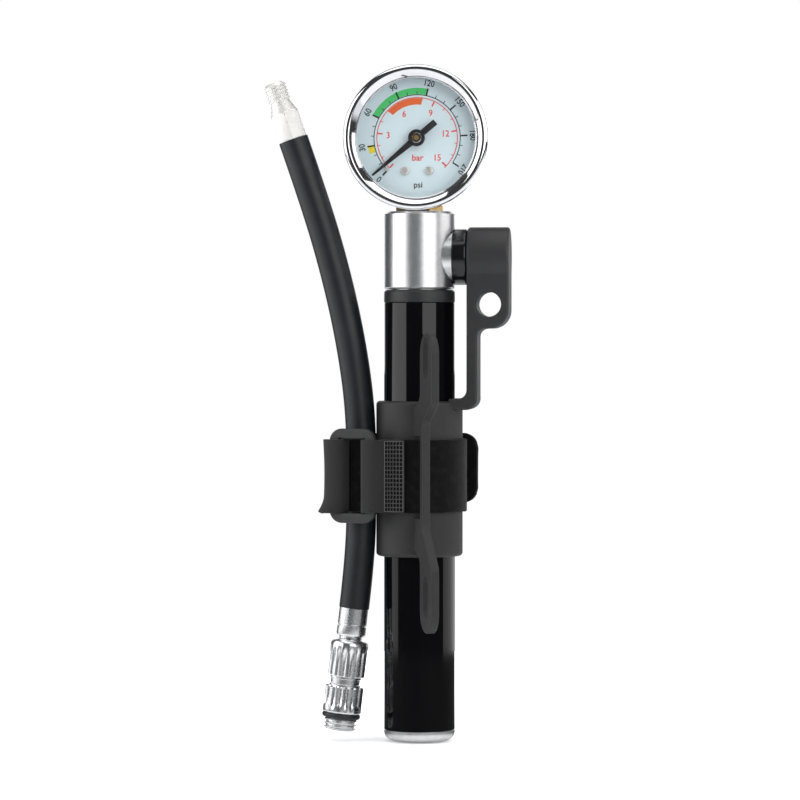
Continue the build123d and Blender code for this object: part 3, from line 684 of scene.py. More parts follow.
def spline_points(points, spacing, closed=False):
    """Even points along the smooth curve that a route of (x, y) or (x, y, z) millimetres controls."""
    data = bpy.data.curves.new("route", "CURVE")
    data.dimensions = "3D"
    data.resolution_u = 16
    spline = data.splines.new("NURBS")
    spline.points.add(len(points) - 1)
    for point, place in zip(spline.points, points):
        full = tuple(place) + (0,) * (3 - len(place))
        point.co = (*full, 1)
    spline.order_u = 3
    spline.use_endpoint_u = not closed
    spline.use_cyclic_u = closed
    holder = bpy.data.objects.new("route", data)
    mesh = bpy.data.meshes.new_from_object(holder)
    line = [v.co.copy() for v in mesh.vertices]
    bpy.data.meshes.remove(mesh)
    bpy.data.curves.remove(data)
    if closed:
        line.append(line[0].copy())
    lengths = [0.0]
    for before, after in zip(line, line[1:]):
        lengths.append(lengths[-1] + (after - before).length)
    count = max(2, ceil(lengths[-1] / spacing))
    even, index = [], 0
    for step in range(count + 1):
        target = lengths[-1] * step / count
        while index < len(lengths) - 2 and lengths[index + 1] < target:
            index += 1
        share = (target - lengths[index]) / max(lengths[index + 1] - lengths[index], 1e-9)
        even.append(line[index].lerp(line[index + 1], share))
    return even, lengths[-1]


# ------------------------------------------------------------------ handle

TUBE_R, TUBE_BORE_R = 10.42, 9.2
TUBE_TOP = 129.1


def handle():
    """The end cap, the polished tube and the guide ring at the tube's top."""
    cap_top, rim, edge = 3.1, 2.5, 0.08
    end_cap = turned(
        rounding(TUBE_R - rim, rim, rim, -90, 0, 8)
        + [(TUBE_R, cap_top - edge), (TUBE_R - edge, cap_top), (TUBE_BORE_R, cap_top), (TUBE_BORE_R, 9.0)]
    )
    settle(end_cap, "end_cap_turned", SATIN, "handle", ["end_cap"])
    low, high, chamfer = cap_top + 0.02, TUBE_TOP - 0.02, 0.18
    tube = turned(
        [(TUBE_R - chamfer, low), (TUBE_R, low + chamfer), (TUBE_R, high - chamfer), (TUBE_R - chamfer, high)]
        + [(TUBE_BORE_R, high), (TUBE_BORE_R, low)],
        128, hollow=True,
    )
    settle(tube, "handle_tube_polished", ANODISE, "handle", ["handle_tube"])
    ring_r, bore, top, shoulder, spigot_foot = 10.45, 8.3, 132.8, 0.9, 121.1
    ring = turned(
        [(ring_r - 0.15, TUBE_TOP), (ring_r, TUBE_TOP + 0.15), (ring_r, top - shoulder)]
        + rounding(ring_r - shoulder, top - shoulder, shoulder, 0, 90, 5)
        + [(bore + 0.2, top), (bore, top - 0.2), (bore, spigot_foot)]
        + [(TUBE_BORE_R, spigot_foot), (TUBE_BORE_R, TUBE_TOP)],
        128, hollow=True,
    )
    settle(ring, "guide_ring_moulded", GUIDE_NYLON, "handle", ["guide_ring"])


# ------------------------------------------------------------------ outlet

def outlet():
    """The neck and nipple that the hose screws on, turned about the outlet's axis."""
    stub_r, neck_r, nipple_r, bore, seat_bore = 3.5, 8.25, 5.0, 3.3, 1.5
    root, face, neck_end, seat, tip = 5.0, 10.0, 14.3, 13.4, 21.0
    socket = turned(
        [(stub_r, root), (stub_r, face), (neck_r - 0.25, face), (neck_r, face + 0.25)]
        + [(neck_r, neck_end - 0.6)] + rounding(neck_r - 0.6, neck_end - 0.6, 0.6, 0, 90, 4)
        + [(nipple_r + 0.4, neck_end), (nipple_r, neck_end + 0.4)]
        + [(nipple_r, tip - 0.4), (nipple_r - 0.4, tip)]
        + [(bore + 0.3, tip), (bore, tip - 0.3), (bore, seat), (seat_bore, seat), (seat_bore, root)],
        128, hollow=True,
    )
    settle(socket, "outlet_neck", GLOSS, replaces=["outlet_socket"], place=PORT)


def round_bar(radius, low, high, place, sides=64):
    """A round bar along its place's Z, for joining to or cutting from another piece."""
    bpy.ops.mesh.primitive_cylinder_add(vertices=sides, radius=radius * MM, depth=(high - low) * MM)
    piece = bpy.context.active_object
    piece.data.transform(place @ shift(0, 0, (high + low) / 2))
    return piece


def square_bar(x, y, z):
    """A square bar between the two ends given for each way."""
    bpy.ops.mesh.primitive_cube_add(size=1)
    piece = bpy.context.active_object
    middle = shift((x[0] + x[1]) / 2, (y[0] + y[1]) / 2, (z[0] + z[1]) / 2)
    piece.data.transform(middle @ stretch(x[1] - x[0], y[1] - y[0], z[1] - z[0]))
    return piece


def cut(piece, tool, operation="DIFFERENCE"):
    """Cuts a tool from a piece, or adds it, or keeps what they share, and removes the tool."""
    apply(piece, "BOOLEAN", object=tool, operation=operation, solver="EXACT")
    bpy.data.objects.remove(tool)


def cross_bar(radius, half, x, z):
    """A round bar across the head's outlet plane."""
    return round_bar(radius, -half, half, shift(x, 0, z) @ turn_about("X", 90))


def dust_cap():
    """Cup, lobe, arm and foot of the rubber cap, moulded in one and bending at the foot."""
    half, past = 7.25, 9
    back, face, foot, bend_height = 14.4, 26.8, 97.5, 100.8
    arm, arm_top, inner_bend = 3.2, 123.0, 2.42
    corner, corner_x, corner_z = 5.4, 21.4, 126.8
    cap = round_bar(8.75, back, face, ACROSS)
    soften(cap, 0.7)
    lobe = square_bar((back, face), (-half, half), (121.4, PORT_HEIGHT))
    cut(lobe, square_bar((corner_x, 27.5), (-past, past), (121.0, corner_z)))
    cut(lobe, cross_bar(corner, half, corner_x, corner_z), "UNION")
    cut(cap, lobe, "UNION")
    cut(cap, square_bar((back, back + arm), (-half, half), (bend_height, arm_top)), "UNION")
    bend = cross_bar(arm + 0.05, half, back, bend_height)
    cut(bend, square_bar((5, back), (-past, past), (90, 110)))
    cut(bend, square_bar((5, 20), (-past, past), (bend_height, 110)))
    cut(cap, bend, "UNION")
    cut(cap, square_bar((9.0, back + 0.05), (-half, half), (foot, bend_height)), "UNION")
    for x, z, hollow_x, hollow_z in (
        ((11.95, back + 0.05), (bend_height - 0.1, 103.25), 11.95, 103.25),
        ((back + arm - 0.05, 20.0), (118.95, 121.5), 20.0, 118.95),
    ):
        fillet = square_bar(x, (-half, half), z)
        cut(fillet, cross_bar(inner_bend, past, hollow_x, hollow_z))
        cut(cap, fillet, "UNION")
    lanyard_hole = cross_bar(3.63, 12, 20.9, 128.5)
    cup_hollow = round_bar(6.5, 10.0, 22.5, ACROSS)
    tube_hollow = round_bar(10.52, 90, 110, Matrix.Identity(4), 96)
    for hollow in (lanyard_hole, cup_hollow, tube_hollow):
        cut(cap, hollow)
    apply(cap, "REMESH", mode="VOXEL", voxel_size=0.28 * MM)
    apply(cap, "SMOOTH", factor=0.5, iterations=5)
    settle(
        cap, "dust_cap_moulded", RUBBER, None, ["dust_cap", "cap_tether_foot"], HEAD, smooth=60
    )
    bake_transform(cap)


# ------------------------------------------------------------------ gauge

CASE_R, CASE_BORE_R = 20.35, 19.35
BEZEL_R, WINDOW_R, LENS_R = 21.2, 17.4, 20.25


def gauge_shell():
    """The gauge's pressed case, its rolled bezel and its flat window, along the gauge's axis."""
    case = turned(
        [(17.6, -10.5)] + rounding(CASE_R - 2.4, -8.1, 2.4, -90, 0, 7)
        + [(CASE_R, 10.9), (CASE_R - 0.1, 11.0), (CASE_BORE_R, 11.0), (CASE_BORE_R, -9.5)],
        128,
    )
    settle(case, "gauge_case_shell", CHROME, replaces=["gauge_case"], place=GAUGE)
    skirt, roll_start, roll, seat = 7.5, 13.3, 1.2, 12.2
    bezel = turned(
        [(CASE_R + 0.02, skirt), (BEZEL_R - 0.15, skirt), (BEZEL_R, skirt + 0.2), (BEZEL_R, roll_start)]
        + rounding(BEZEL_R - roll, roll_start, roll, 0, 90, 8)
        + [(19.6, 14.5), (19.3, 14.35), (17.9, 12.75), (17.5, 12.4), (WINDOW_R, seat), (CASE_R + 0.02, seat)],
        160, hollow=True,
    )
    settle(
        bezel, "gauge_bezel_ring", CHROME, replaces=["gauge_bezel"], place=GAUGE, smooth=40
    )
    lens = turned(
        [(LENS_R - 0.1, 11.0), (LENS_R, 11.1), (LENS_R, 12.1), (LENS_R - 0.1, 12.18)]
        + [(14.0, 12.19), (6.0, 12.2)]
    )
    settle(lens, "gauge_window", LENS, replaces=["gauge_lens"], place=GAUGE)


ZERO_ANGLE = 227.0
DEGREES_PER_PSI = 1.245
PSI_PER_BAR = 14.5
PSI_FULL, BAR_FULL = 210, 15
DIAL_HEIGHT = 7.5
PRINT_THICK = 0.04


def psi_angle(psi):
    """The dial's angle in degrees for a pressure, from 3 o'clock, anticlockwise."""
    return ZERO_ANGLE - DEGREES_PER_PSI * psi


def arc_band(inner, outer, start, end):
    """A printed arc band between two radii and two angles, in degrees."""
    bpy.ops.mesh.primitive_plane_add(size=1)
    piece = bpy.context.active_object
    bpy.ops.object.mode_set(mode="EDIT")
    bpy.ops.mesh.select_all(action="DESELECT")
    bpy.ops.object.mode_set(mode="OBJECT")
    for vertex in piece.data.vertices:
        vertex.select = vertex.co.y > 0
    bpy.ops.object.mode_set(mode="EDIT")
    bpy.ops.mesh.delete(type="VERT")
    bpy.ops.object.mode_set(mode="OBJECT")
    for vertex, radius in zip(piece.data.vertices, (inner, outer)):
        vertex.co = Vector((radius * cos(radians(start)), radius * sin(radians(start)), DIAL_HEIGHT)) * MM
    edit_all()
    degrees_a_step = 2.5
    steps = max(2, int(abs(end - start) / degrees_a_step))
    bpy.ops.mesh.spin(steps=steps, angle=radians(start - end), center=(0, 0, 0), axis=(0, 0, 1))
    face_outwards()
    if piece.data.polygons[0].normal.z < 0:
        piece.data.flip_normals()
    apply(piece, "SOLIDIFY", thickness=PRINT_THICK * MM, offset=1.0)
    return piece


def tick(angle, inner, outer, width, thick=PRINT_THICK):
    """A printed radial mark."""
    bpy.ops.mesh.primitive_plane_add(size=1)
    piece = bpy.context.active_object
    out = shift((outer + inner) / 2, 0, DIAL_HEIGHT)
    piece.data.transform(turn_about("Z", angle) @ out @ stretch(outer - inner, width, 1))
    apply(piece, "SOLIDIFY", thickness=thick * MM, offset=1.0)
    return piece


def figure(text, size, x, y, turn=0.0, wide=1.0):
    """A printed word or number centred at x, y on the dial."""
    bpy.ops.object.text_add()
    label = bpy.context.active_object
    label.data.body = text
    label.data.size = size * MM
    label.data.align_x = "CENTER"
    label.data.align_y = "CENTER"
    label.data.extrude = PRINT_THICK / 2 * MM
    label.data.offset = 0.035 * MM
    label.data.resolution_u = 3
    bpy.ops.object.convert(target="MESH")
    piece = bpy.context.active_object
    place = shift(x, y, DIAL_HEIGHT + PRINT_THICK / 2)
    piece.data.transform(place @ turn_about("Z", turn) @ Matrix.Diagonal((wide, 1, 1, 1)))
    return piece


def dial():
    """The dial's plate and its print: two scales with their numbers, and three bands."""
    plate = turned([(19.25, 7.0), (19.25, DIAL_HEIGHT - 0.05), (19.2, DIAL_HEIGHT)])
    settle(plate, "dial_plate", DIAL, replaces=["gauge_dial"], place=GAUGE)

    black = [arc_band(12.55, 12.8, psi_angle(0), psi_angle(PSI_FULL))]
    for psi in range(0, PSI_FULL + 1, 10):
        outer, width = (14.8, 0.44) if psi % 30 == 0 else (13.6, 0.2)
        black.append(tick(psi_angle(psi), 12.7, outer, width, 0.06))
    number_ring = 16.3
    for psi in range(0, PSI_FULL + 1, 30):
        angle = psi_angle(psi)
        x, y = number_ring * cos(radians(angle)), number_ring * sin(radians(angle))
        black.append(figure(str(psi), 2.55, x, y, angle - 90, 0.86))
    black.append(figure("psi", 2.4, 0.3, -13.7))
    settle(joined(black), "psi_print", BLACK_INK, place=GAUGE, smooth=0)

    red = [arc_band(11.7, 11.95, psi_angle(0), psi_angle((BAR_FULL + 0.2) * PSI_PER_BAR))]
    for bar in range(BAR_FULL + 1):
        inner, width = (10.2, 0.42) if bar % 3 == 0 else (11.0, 0.2)
        red.append(tick(psi_angle(bar * PSI_PER_BAR), inner, 11.8, width))
    number_places = (("3", -8.5, 0.8), ("6", -3.8, 7.0), ("9", 4.0, 7.2), ("12", 8.3, 1.2), ("15", 5.9, -5.8))
    for text, x, y in number_places:
        red.append(figure(text, 2.6, x, y, 0, 0.9))
    red.append(figure("bar", 2.6, 0.15, -5.8))
    settle(joined(red), "bar_print", RED_INK, place=GAUGE, smooth=0)

    for name, ink_used, inner, outer, low, high in (
        ("green_band", GREEN_INK, 12.85, 14.7, 60, 120),
        ("orange_band", ORANGE_INK, 9.8, 11.65, 5 * PSI_PER_BAR, 8 * PSI_PER_BAR),
        ("yellow_band", YELLOW_INK, 12.85, 14.6, 23, 31),
    ):
        band = arc_band(inner, outer, psi_angle(low), psi_angle(high))
        settle(band, name, ink_used, place=GAUGE, smooth=0)


def pointer():
    """Tapered blade with a broad tail, its hub and the bright collar round its spindle."""
    hub = turned(
        [(2.3, 8.8), (2.45, 8.95), (2.45, 9.85), (2.3, 10.0)]
        + [(1.52, 10.0), (1.5, 9.8), (0.85, 9.8), (0.85, 8.8)],
        48, hollow=True,
    )
    length, width, thickness, centre, waist = 24.2, 1.86, 0.5, 4.9, 2.0
    tip_share = 0.28
    bpy.ops.mesh.primitive_cube_add(size=1)
    blade = bpy.context.active_object
    blade.data.transform(shift(centre, 0, 9.25) @ stretch(length, width, thickness))
    for vertex in blade.data.vertices:
        if vertex.co.x > 0:
            vertex.co.y *= tip_share
    edit_all()
    for side in (1, -1):
        bpy.ops.mesh.select_all(action="SELECT")
        bpy.ops.mesh.bisect(plane_co=(side * waist * MM, 0, 0), plane_no=(1, 0, 0))
    bpy.ops.object.mode_set(mode="OBJECT")
    for vertex in blade.data.vertices:
        if abs(vertex.co.x) < 1.5 * waist * MM:
            side = 1 if vertex.co.y > 0 else -1
            vertex.co.y = side * width / 2 * MM
    soften(blade, 0.08, 2)
    place = GAUGE @ turn_about("Z", POINTER_REST)
    needle = joined([hub, blade])
    settle(needle, "pointer_blade", BLACK_INK, "pointer", ["gauge_pointer"], place)
    ring = turned(
        [(1.05, 9.85), (1.5, 9.85), (1.5, 10.2), (1.38, 10.3), (1.15, 10.3), (1.05, 10.2)], 40, hollow=True
    )
    settle(ring, "pointer_collar", CHROME, "pointer", place=place)


def dial_fasteners():
    """Cross recessed screws and the pointer's stop pin."""
    screw_x, screw_y, screw_turn, slot_half, slot_floor = 3.54, -9.56, 20, 0.17, 8.05
    heads = []
    for side in (-1, 1):
        head = turned([(1.25, 7.5), (1.35, 7.58), (1.35, 7.9)] + rounding(0.85, 7.9, 0.5, 0, 80, 4), 40)
        place = shift(side * screw_x, screw_y, 0)
        head.data.transform(place)
        for quarter in (0, 90):
            tool = square_bar((-0.85, 0.85), (-slot_half, slot_half), (slot_floor, 9.0))
            tool.data.transform(place @ turn_about("Z", screw_turn * side + quarter))
            cut(head, tool)
        heads.append(head)
    settle(joined(heads), "dial_screw_heads", SCREW, replaces=["dial_screws"], place=GAUGE)
    pin_angle, pin_out = 226.5, 12.6
    pin = turned([(0.6, 7.3), (0.6, 9.7), (0.45, 9.85)], 24)
    place = GAUGE @ turn_about("Z", pin_angle) @ shift(pin_out, 0, 0)
    settle(pin, "pointer_stop_pin", SCREW, replaces=["stop_pin"], place=place)


# ------------------------------------------------------------------ hose and its fittings

def hose_point(out, height):
    """A point on the hose's upright plane, out from the pump's axis and up."""
    return Vector((out * cos(HOSE_TURN) * MM, out * sin(HOSE_TURN) * MM, height * MM))


# Points out from the pump's axis and up, from the hose's top end to its foot.
HOSE_ROUTE = [
    (37.2, 177.1),
    (30.4, 157.6),
    (24.45, 137.0),
    (20.0, 116.6),
    (17.3, 96.6),
    (17.22, 76.4),
    (17.22, 56.2),
    (19.3, 39.0),
]


def end_place(tip, back):
    """A place at a hose end with Z out of the hose, square to the hose's upright plane."""
    out = (hose_point(*tip) - hose_point(*back)).normalized()
    side = Vector((-sin(HOSE_TURN), cos(HOSE_TURN), 0))
    cross = out.cross(side)
    turn = Matrix((side, cross, out)).transposed().to_4x4()
    return Matrix.Translation(hose_point(*tip)) @ turn


HOSE_R = 4.425


def hose():
    """The rubber hose along its route, with the fittings on both ends."""
    data = bpy.data.curves.new("hose_run", "CURVE")
    data.dimensions = "3D"
    data.resolution_u = 24
    data.bevel_depth = HOSE_R * MM
    data.bevel_resolution = 12
    data.use_fill_caps = True
    spline = data.splines.new("NURBS")
    spline.points.add(len(HOSE_ROUTE) - 1)
    for point, place in zip(spline.points, HOSE_ROUTE):
        point.co = (*hose_point(*place), 1)
    spline.order_u = 3
    spline.use_endpoint_u = True
    run = bpy.data.objects.new("hose_run", data)
    bpy.context.scene.collection.objects.link(run)
    data.materials.append(HOSE)
    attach(run, "pump_body")
    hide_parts("hose")
    top = end_place(HOSE_ROUTE[0], HOSE_ROUTE[1])
    foot = end_place(HOSE_ROUTE[-1], HOSE_ROUTE[-2])
    fittings = top_fitting(top) + chuck(foot)


def threads(root, crest, start, count, pitch, rise, flat, width):
    """Outline points of thread ridges up a turned piece."""
    points = []
    for ridge in range(count):
        low = start + ridge * pitch
        points += [(root, low), (crest, low + rise), (crest, low + flat), (root, low + width)]
    return points


def top_fitting(place):
    """The hexagonal ferrule crimped on the hose's top end, and the threaded nipple in it."""
    corner_r, hex_top = 4.734, 8.4
    hex_bar = turned([(corner_r, 0.0), (corner_r, hex_top)], 6)
    hex_bar.data.transform(turn_about("Z", 30))
    rounded_bar = turned([(4.35, -0.3), (4.68, 0.5), (4.68, 7.4), (4.15, 8.5)], 64)
    cut(hex_bar, rounded_bar, "INTERSECT")
    soften(hex_bar, 0.12, 2)
    cone = turned([(3.95, 8.3), (3.9, 8.7), (2.85, 11.5), (2.8, 11.9)], 64)
    ferrule = joined([hex_bar, cone])
    settle(ferrule, "hose_top_ferrule", NICKEL, replaces=["hose_ferrule"], place=place)
    end, bore = 17.5, 1.3
    nipple = turned(
        [(2.75, 11.7)] + threads(2.9, 3.3, 11.95, 5, 1.02, 0.3, 0.56, 0.86)
        + [(2.7, end - 0.2), (2.4, end), (bore + 0.1, end), (bore, end - 0.2), (bore, 14.0)],
        56,
    )
    settle(nipple, "hose_thread_nipple", NICKEL, replaces=["hose_nipple"], place=place)
    return [ferrule, nipple]


def fluted_sleeve(radius, low, high, flutes, depth, shoulder):
    """A gripping sleeve: flutes run up its side and fade out at a rounded shoulder."""
    sides_a_flute, edge, flute_share = 8, 0.35, 0.65
    fade = low + shoulder + 1.6
    outline = rounding(radius - shoulder, low + shoulder, shoulder, -90, 0, 5)
    outline += [(radius, fade), (radius, fade + 0.5), (radius, (fade + high) / 2)]
    outline += [(radius, high - edge), (radius - edge, high)]
    piece = raise_outline(outline, flutes * sides_a_flute)
    face_outwards()
    for vertex in piece.data.vertices:
        spot = hypot(vertex.co.x, vertex.co.y)
        if vertex.co.z < (fade - 0.01) * MM or spot < (radius - 0.6) * MM:
            continue
        turn = (atan2(vertex.co.y, vertex.co.x) / (2 * pi) * flutes) % 1.0
        dip = 0.0
        if abs(turn - 0.5) < flute_share / 2:
            dip = max(0.0, cos((turn - 0.5) * pi / flute_share)) ** 0.7
        reach = 0.45 if vertex.co.z < (fade + 0.1) * MM else 1.0
        shrink = 1 - depth * MM * dip * reach / spot
        vertex.co.x *= shrink
        vertex.co.y *= shrink
    return piece


def chuck(place):
    """The ferrule at the hose's foot, the chuck's gripping sleeve, its valve nut and its sealing ring."""
    ferrule_r, groove_r = 4.25, 4.08
    ferrule = turned(
        [(4.1, 0.0), (ferrule_r, 0.15), (ferrule_r, 4.9)]
        + [(groove_r, 5.05), (groove_r, 5.35), (ferrule_r, 5.5)]
        + rounding(ferrule_r - 0.9, 7.7, 0.9, 0, 90, 5) + [(3.3, 8.65), (3.3, 9.2)],
        64,
    )
    settle(ferrule, "chuck_hose_ferrule", FITTING, replaces=["chuck_ferrule"], place=place)
    flutes, flute_depth = 18, 0.42
    upper = fluted_sleeve(5.5, 9.3, 20.4, flutes, flute_depth, 1.8)
    neck = turned([(4.6, 20.2), (4.6, 21.0), (4.3, 21.2), (4.3, 22.6), (4.6, 22.8), (4.6, 23.4)], 64)
    collar = joined([upper, neck])
    settle(collar, "chuck_grip_sleeve", FITTING, "chuck", ["chuck_collar"], place)
    nut_low, nut_high, crest, root, end, bore = 23.3, 31.3, 4.8, 4.2, 36.3, 2.7
    lower = fluted_sleeve(5.7, nut_low, nut_high, flutes, flute_depth, 0.6)
    lower.data.transform(shift(0, 0, nut_low + nut_high) @ turn_about("X", 180))
    thread = turned(
        [(crest, 31.1), (crest, 31.4), (root, 31.6)] + threads(root, crest, 32.85, 3, 1.13, 0.38, 0.6, 1.0)
        + [(root, end - 0.05), (root - 0.2, end), (bore + 0.2, end), (bore, end - 0.2), (bore, 29.8)],
        64,
    )
    nut = joined([lower, thread])
    settle(nut, "chuck_valve_nut", FITTING, "chuck", ["chuck_nut"], place)
    ring_r, ring_height, half_wide, half_high = 5.25, 32.05, 0.4, 0.7
    section = []
    for angle in range(0, 360, 30):
        out, up = half_wide * cos(radians(angle)), half_high * sin(radians(angle))
        section.append((ring_r + out, ring_height + up))
    ring = turned(section, 64, hollow=True)
    settle(ring, "chuck_sealing_ring", SEAL, "chuck", ["chuck_o_ring"], place)
    return [ferrule, collar, nut, ring]


# ------------------------------------------------------------------ strap

COLLAR_R = 12.75
STRAP_HOSE_R = 4.75
STRAP_HOSE_OUT = 17.6
LEAN = acos((COLLAR_R - STRAP_HOSE_R) / STRAP_HOSE_OUT)
STRAP_LOW, STRAP_HIGH = 67.6, 88.9
TAIL_LOW, TAIL_HIGH = 69.6, 90.3
RING_NEAR, RING_OUT, RING_LONG, RING_BAR, RING_THICK = 5.85, 2.85, 15.1, 3.2, 2.0
OUTER_LAYER = 2.1


def front(along, out):
    """A plan point on the strap's front straight: along it towards the hose, and out from it."""
    start = Vector((-cos(LEAN), -sin(LEAN))) * COLLAR_R
    return start + Vector((-sin(LEAN), cos(LEAN))) * along + Vector((-cos(LEAN), -sin(LEAN))) * out


def around(centre_x, radius, start, end, count):
    """Plan points round an upright axis on the strap's long line, between two angles in degrees."""
    points = []
    for step in range(count):
        angle = radians(start + (end - start) * step / (count - 1))
        points.append(Vector((centre_x + radius * cos(angle), radius * sin(angle))))
    return points


def strap_strip(
    route, low, high, thickness, name, material, replaces,
    closed=False, seed=0, ripple=0.12, tip=0.0, flare=0.0,
):
    """A length of strap on edge along a plan route, with its own length and width as UV.

    tip is the corner radius at its far end, and flare is how far its low left corner curls out.
    """
    spacing, rows, fray = 0.6, 16, 0.12
    flare_from, flare_height, pinch_depth = -21.5, 4.5, 0.35
    line, length = spline_points(route, spacing, closed)
    columns = len(line)
    bpy.ops.mesh.primitive_grid_add(x_subdivisions=columns - 1, y_subdivisions=rows, size=1)
    piece = bpy.context.active_object
    mesh = piece.data
    places = {}
    for vertex in mesh.vertices:
        places[vertex.index] = (round((vertex.co.x + 0.5) * (columns - 1)), vertex.co.y + 0.5)
    layer = mesh.uv_layers.new(name="strap_mm")
    for loop in mesh.loops:
        column, row = places[loop.vertex_index]
        layer.data[loop.index].uv = (column / (columns - 1) * length, row * (high - low))
    for vertex in mesh.vertices:
        column, row = places[vertex.index]
        spot = line[column]
        before, after = line[max(column - 1, 0)], line[min(column + 1, columns - 1)]
        if closed and column in (0, columns - 1):
            before, after = line[-2], line[1]
        side = (after - before).normalized()
        normal = Vector((side.y, -side.x, 0))
        lift = noise.noise(Vector((spot.x * 0.11, spot.y * 0.11, row * 1.6 + seed))) * ripple
        edge = noise.noise(Vector((spot.x * 0.5, spot.y * 0.5, seed + 9.0))) * fray
        left = (columns - 1 - column) / (columns - 1) * length
        inset = tip - sqrt(tip**2 - (tip - left) ** 2) if left < tip else 0.0
        height = low + inset + (high - low - 2 * inset) * row + edge * (1 if row > 0.5 else -1)
        vertex.co = (spot + normal * lift) * MM
        vertex.co.z = height * MM
        if flare and spot.x < flare_from:
            curl = max(0.0, 1 - (height - low) / flare_height) ** 1.6
            pinch = pinch_depth * sin(pi * row)
            vertex.co.x -= (flare * curl - pinch) * min(1.0, (flare_from - spot.x) / 2) * MM
    edit_all()
    face_outwards(merge=0.00001 if closed else None)
    apply(piece, "SOLIDIFY", thickness=thickness * MM, offset=0.0, use_even_offset=True)
    soften(piece, 0.25, 2, 60)
    settle(piece, name, material, replaces=replaces, place=STRAP, smooth=50)
    return piece, length


def weld_patch(route):
    """The patch where the folded end is welded flat, pressed with rows of small square pits."""
    columns, rows, pitch, proud = 6, 17, 1.06, 0.72
    margin, rib, pit_depth, inwards_x = 0.4, 0.15, 0.25, -9.0
    line = spline_points(route, pitch)[0]
    bpy.ops.mesh.primitive_grid_add(x_subdivisions=columns, y_subdivisions=rows, size=1)
    patch = bpy.context.active_object
    for vertex in patch.data.vertices:
        column = round((vertex.co.x + 0.5) * columns)
        side = (line[column + 1] - line[max(column - 1, 0)]).normalized()
        spot = line[column] + Vector((-side.y, side.x, 0)) * proud
        height = STRAP_LOW + margin + (STRAP_HIGH - STRAP_LOW - 2 * margin) * (vertex.co.y + 0.5)
        vertex.co = spot * MM
        vertex.co.z = height * MM
    edit_all()
    bpy.ops.mesh.inset(thickness=rib * MM, use_individual=True)
    bpy.ops.object.mode_set(mode="OBJECT")
    pits = [vertex.index for vertex in patch.data.vertices if vertex.select]
    # marks the pit floors that the welded_web material darkens with painted shade
    depth = patch.data.attributes.new("pit_shade_mask", "FLOAT", "POINT")
    for index in pits:
        vertex = patch.data.vertices[index]
        inward = (Vector((inwards_x * MM, 0, vertex.co.z)) - vertex.co).normalized()
        vertex.co += inward * pit_depth * MM
        depth.data[index].value = 1.0
    edit_all()
    face_outwards()
    apply(patch, "SOLIDIFY", thickness=0.3 * MM, offset=0.0)
    settle(patch, "strap_weld_patch", WELD, replaces=["strap_weld"], place=STRAP, smooth=35)


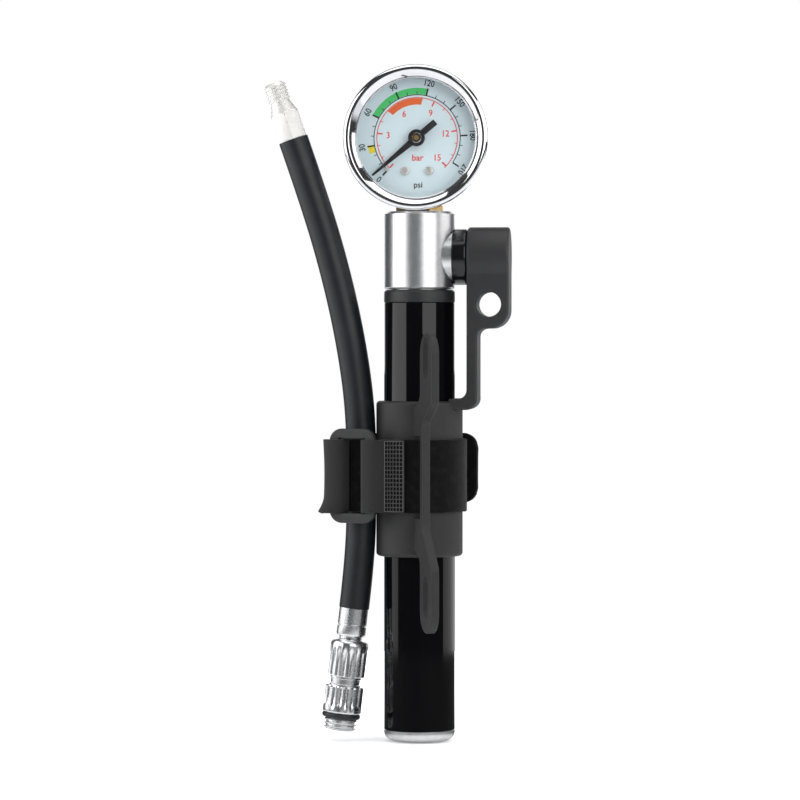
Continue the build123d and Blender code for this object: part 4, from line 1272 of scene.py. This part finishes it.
def strap():
    """Four lengths of strap: the band, its fixed end, the fold round the ring and the free end."""
    lean = degrees(LEAN)
    clear = 0.75
    top = RING_OUT + RING_THICK + clear
    low = RING_OUT - clear
    middle = (top + low) / 2

    band_route = around(0, COLLAR_R + clear, -180 + lean + 2, 180 - lean - 2, 34)
    band_route += around(-STRAP_HOSE_OUT, STRAP_HOSE_R + clear, 180 - lean + 3, 180 + lean - 3, 14)
    band, band_length = strap_strip(
        band_route, STRAP_LOW, STRAP_HIGH, 1.1, "strap_band_pile", VELOUR, ["strap_band"],
        closed=True, seed=1, ripple=0.05,
    )

    near = RING_NEAR
    bar_end = near + RING_BAR
    front_route = around(0, COLLAR_R + OUTER_LAYER, -108, -180 + lean, 5)
    for along, out in (
        (2.4, 2.35), (near - 2.2, 3.6), (near - 0.2, top - 0.2), (near + 1.6, top + 0.1),
        (bar_end + 0.6, top - 0.3), (bar_end + 1.0, middle),
        (bar_end + 0.4, low - 0.1), (near + 1.0, low), (near - 2.2, low),
    ):
        front_route.append(front(along, out))
    fixed, fixed_length = strap_strip(
        front_route, STRAP_LOW, STRAP_HIGH, 1.15, "strap_fixed_end", WEBBING, ["strap_front"],
        seed=2, ripple=0.1,
    )
    weld_patch(front_route)

    far = RING_NEAR + RING_LONG - RING_BAR
    ring_end = far + RING_BAR
    fold_route = []
    for along, out in (
        (far - 1.4, low - 0.4), (far - 1.0, middle), (far - 0.4, top - 0.2),
        (far + 1.6, top + 0.4), (ring_end + 0.9, top - 0.2), (ring_end + 2.0, RING_OUT + 0.4),
    ):
        fold_route.append(front(along, out))
    fold_route += around(-STRAP_HOSE_OUT, STRAP_HOSE_R + OUTER_LAYER, 196, 158, 4)
    fold, fold_length = strap_strip(
        fold_route, STRAP_LOW - 0.3, STRAP_HIGH, 1.3, "strap_fold_web", WEBBING,
        ["strap_fold"], seed=5, ripple=0.2, flare=1.6,
    )

    tail_route = around(-STRAP_HOSE_OUT, STRAP_HOSE_R + OUTER_LAYER, 156, 180 - lean, 4)
    tail_route += around(0, COLLAR_R + OUTER_LAYER, 180 - lean, 62, 5)
    tail_route += [Vector((11.3, 11.8)), Vector((17.3, 8.4))]
    tail, tail_length = strap_strip(
        tail_route, TAIL_LOW, TAIL_HIGH, 1.3, "strap_free_end", VELOUR, ["strap_tail"],
        seed=3, ripple=0.25, tip=4.5,
    )


# ------------------------------------------------------------------ parts kept from the frame

def dress(name, material):
    """Gives one of the frame's own parts its finish."""
    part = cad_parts[name]
    part.data.materials.clear()
    part.data.materials.append(material)


def kept_parts():
    """Finishes for the parts whose shape is already right, most of them out of sight."""
    finishes = {
        NYLON: ["frame_bracket"],
        RING_NYLON: ["strap_ring"],
        SATIN: ["pump_head", "inner_barrel"],
        BRASS: [
            "gauge_stem", "valve_seat", "movement_frame", "sector_gear", "bourdon_tube", "pointer_spindle",
        ],
        STEEL: ["valve_ball", "valve_spring", "piston_rod"],
        SEAL: ["outlet_seal", "barrel_o_ring", "piston_o_ring", "stop_bumper", "chuck_seal"],
        GUIDE_NYLON: ["barrel_bush", "piston"],
    }
    for material, names in finishes.items():
        for name in names:
            dress(name, material)


studio()
kept_parts()
handle()
outlet()
dust_cap()
gauge_shell()
dial()
pointer()
dial_fasteners()
hose()
strap()
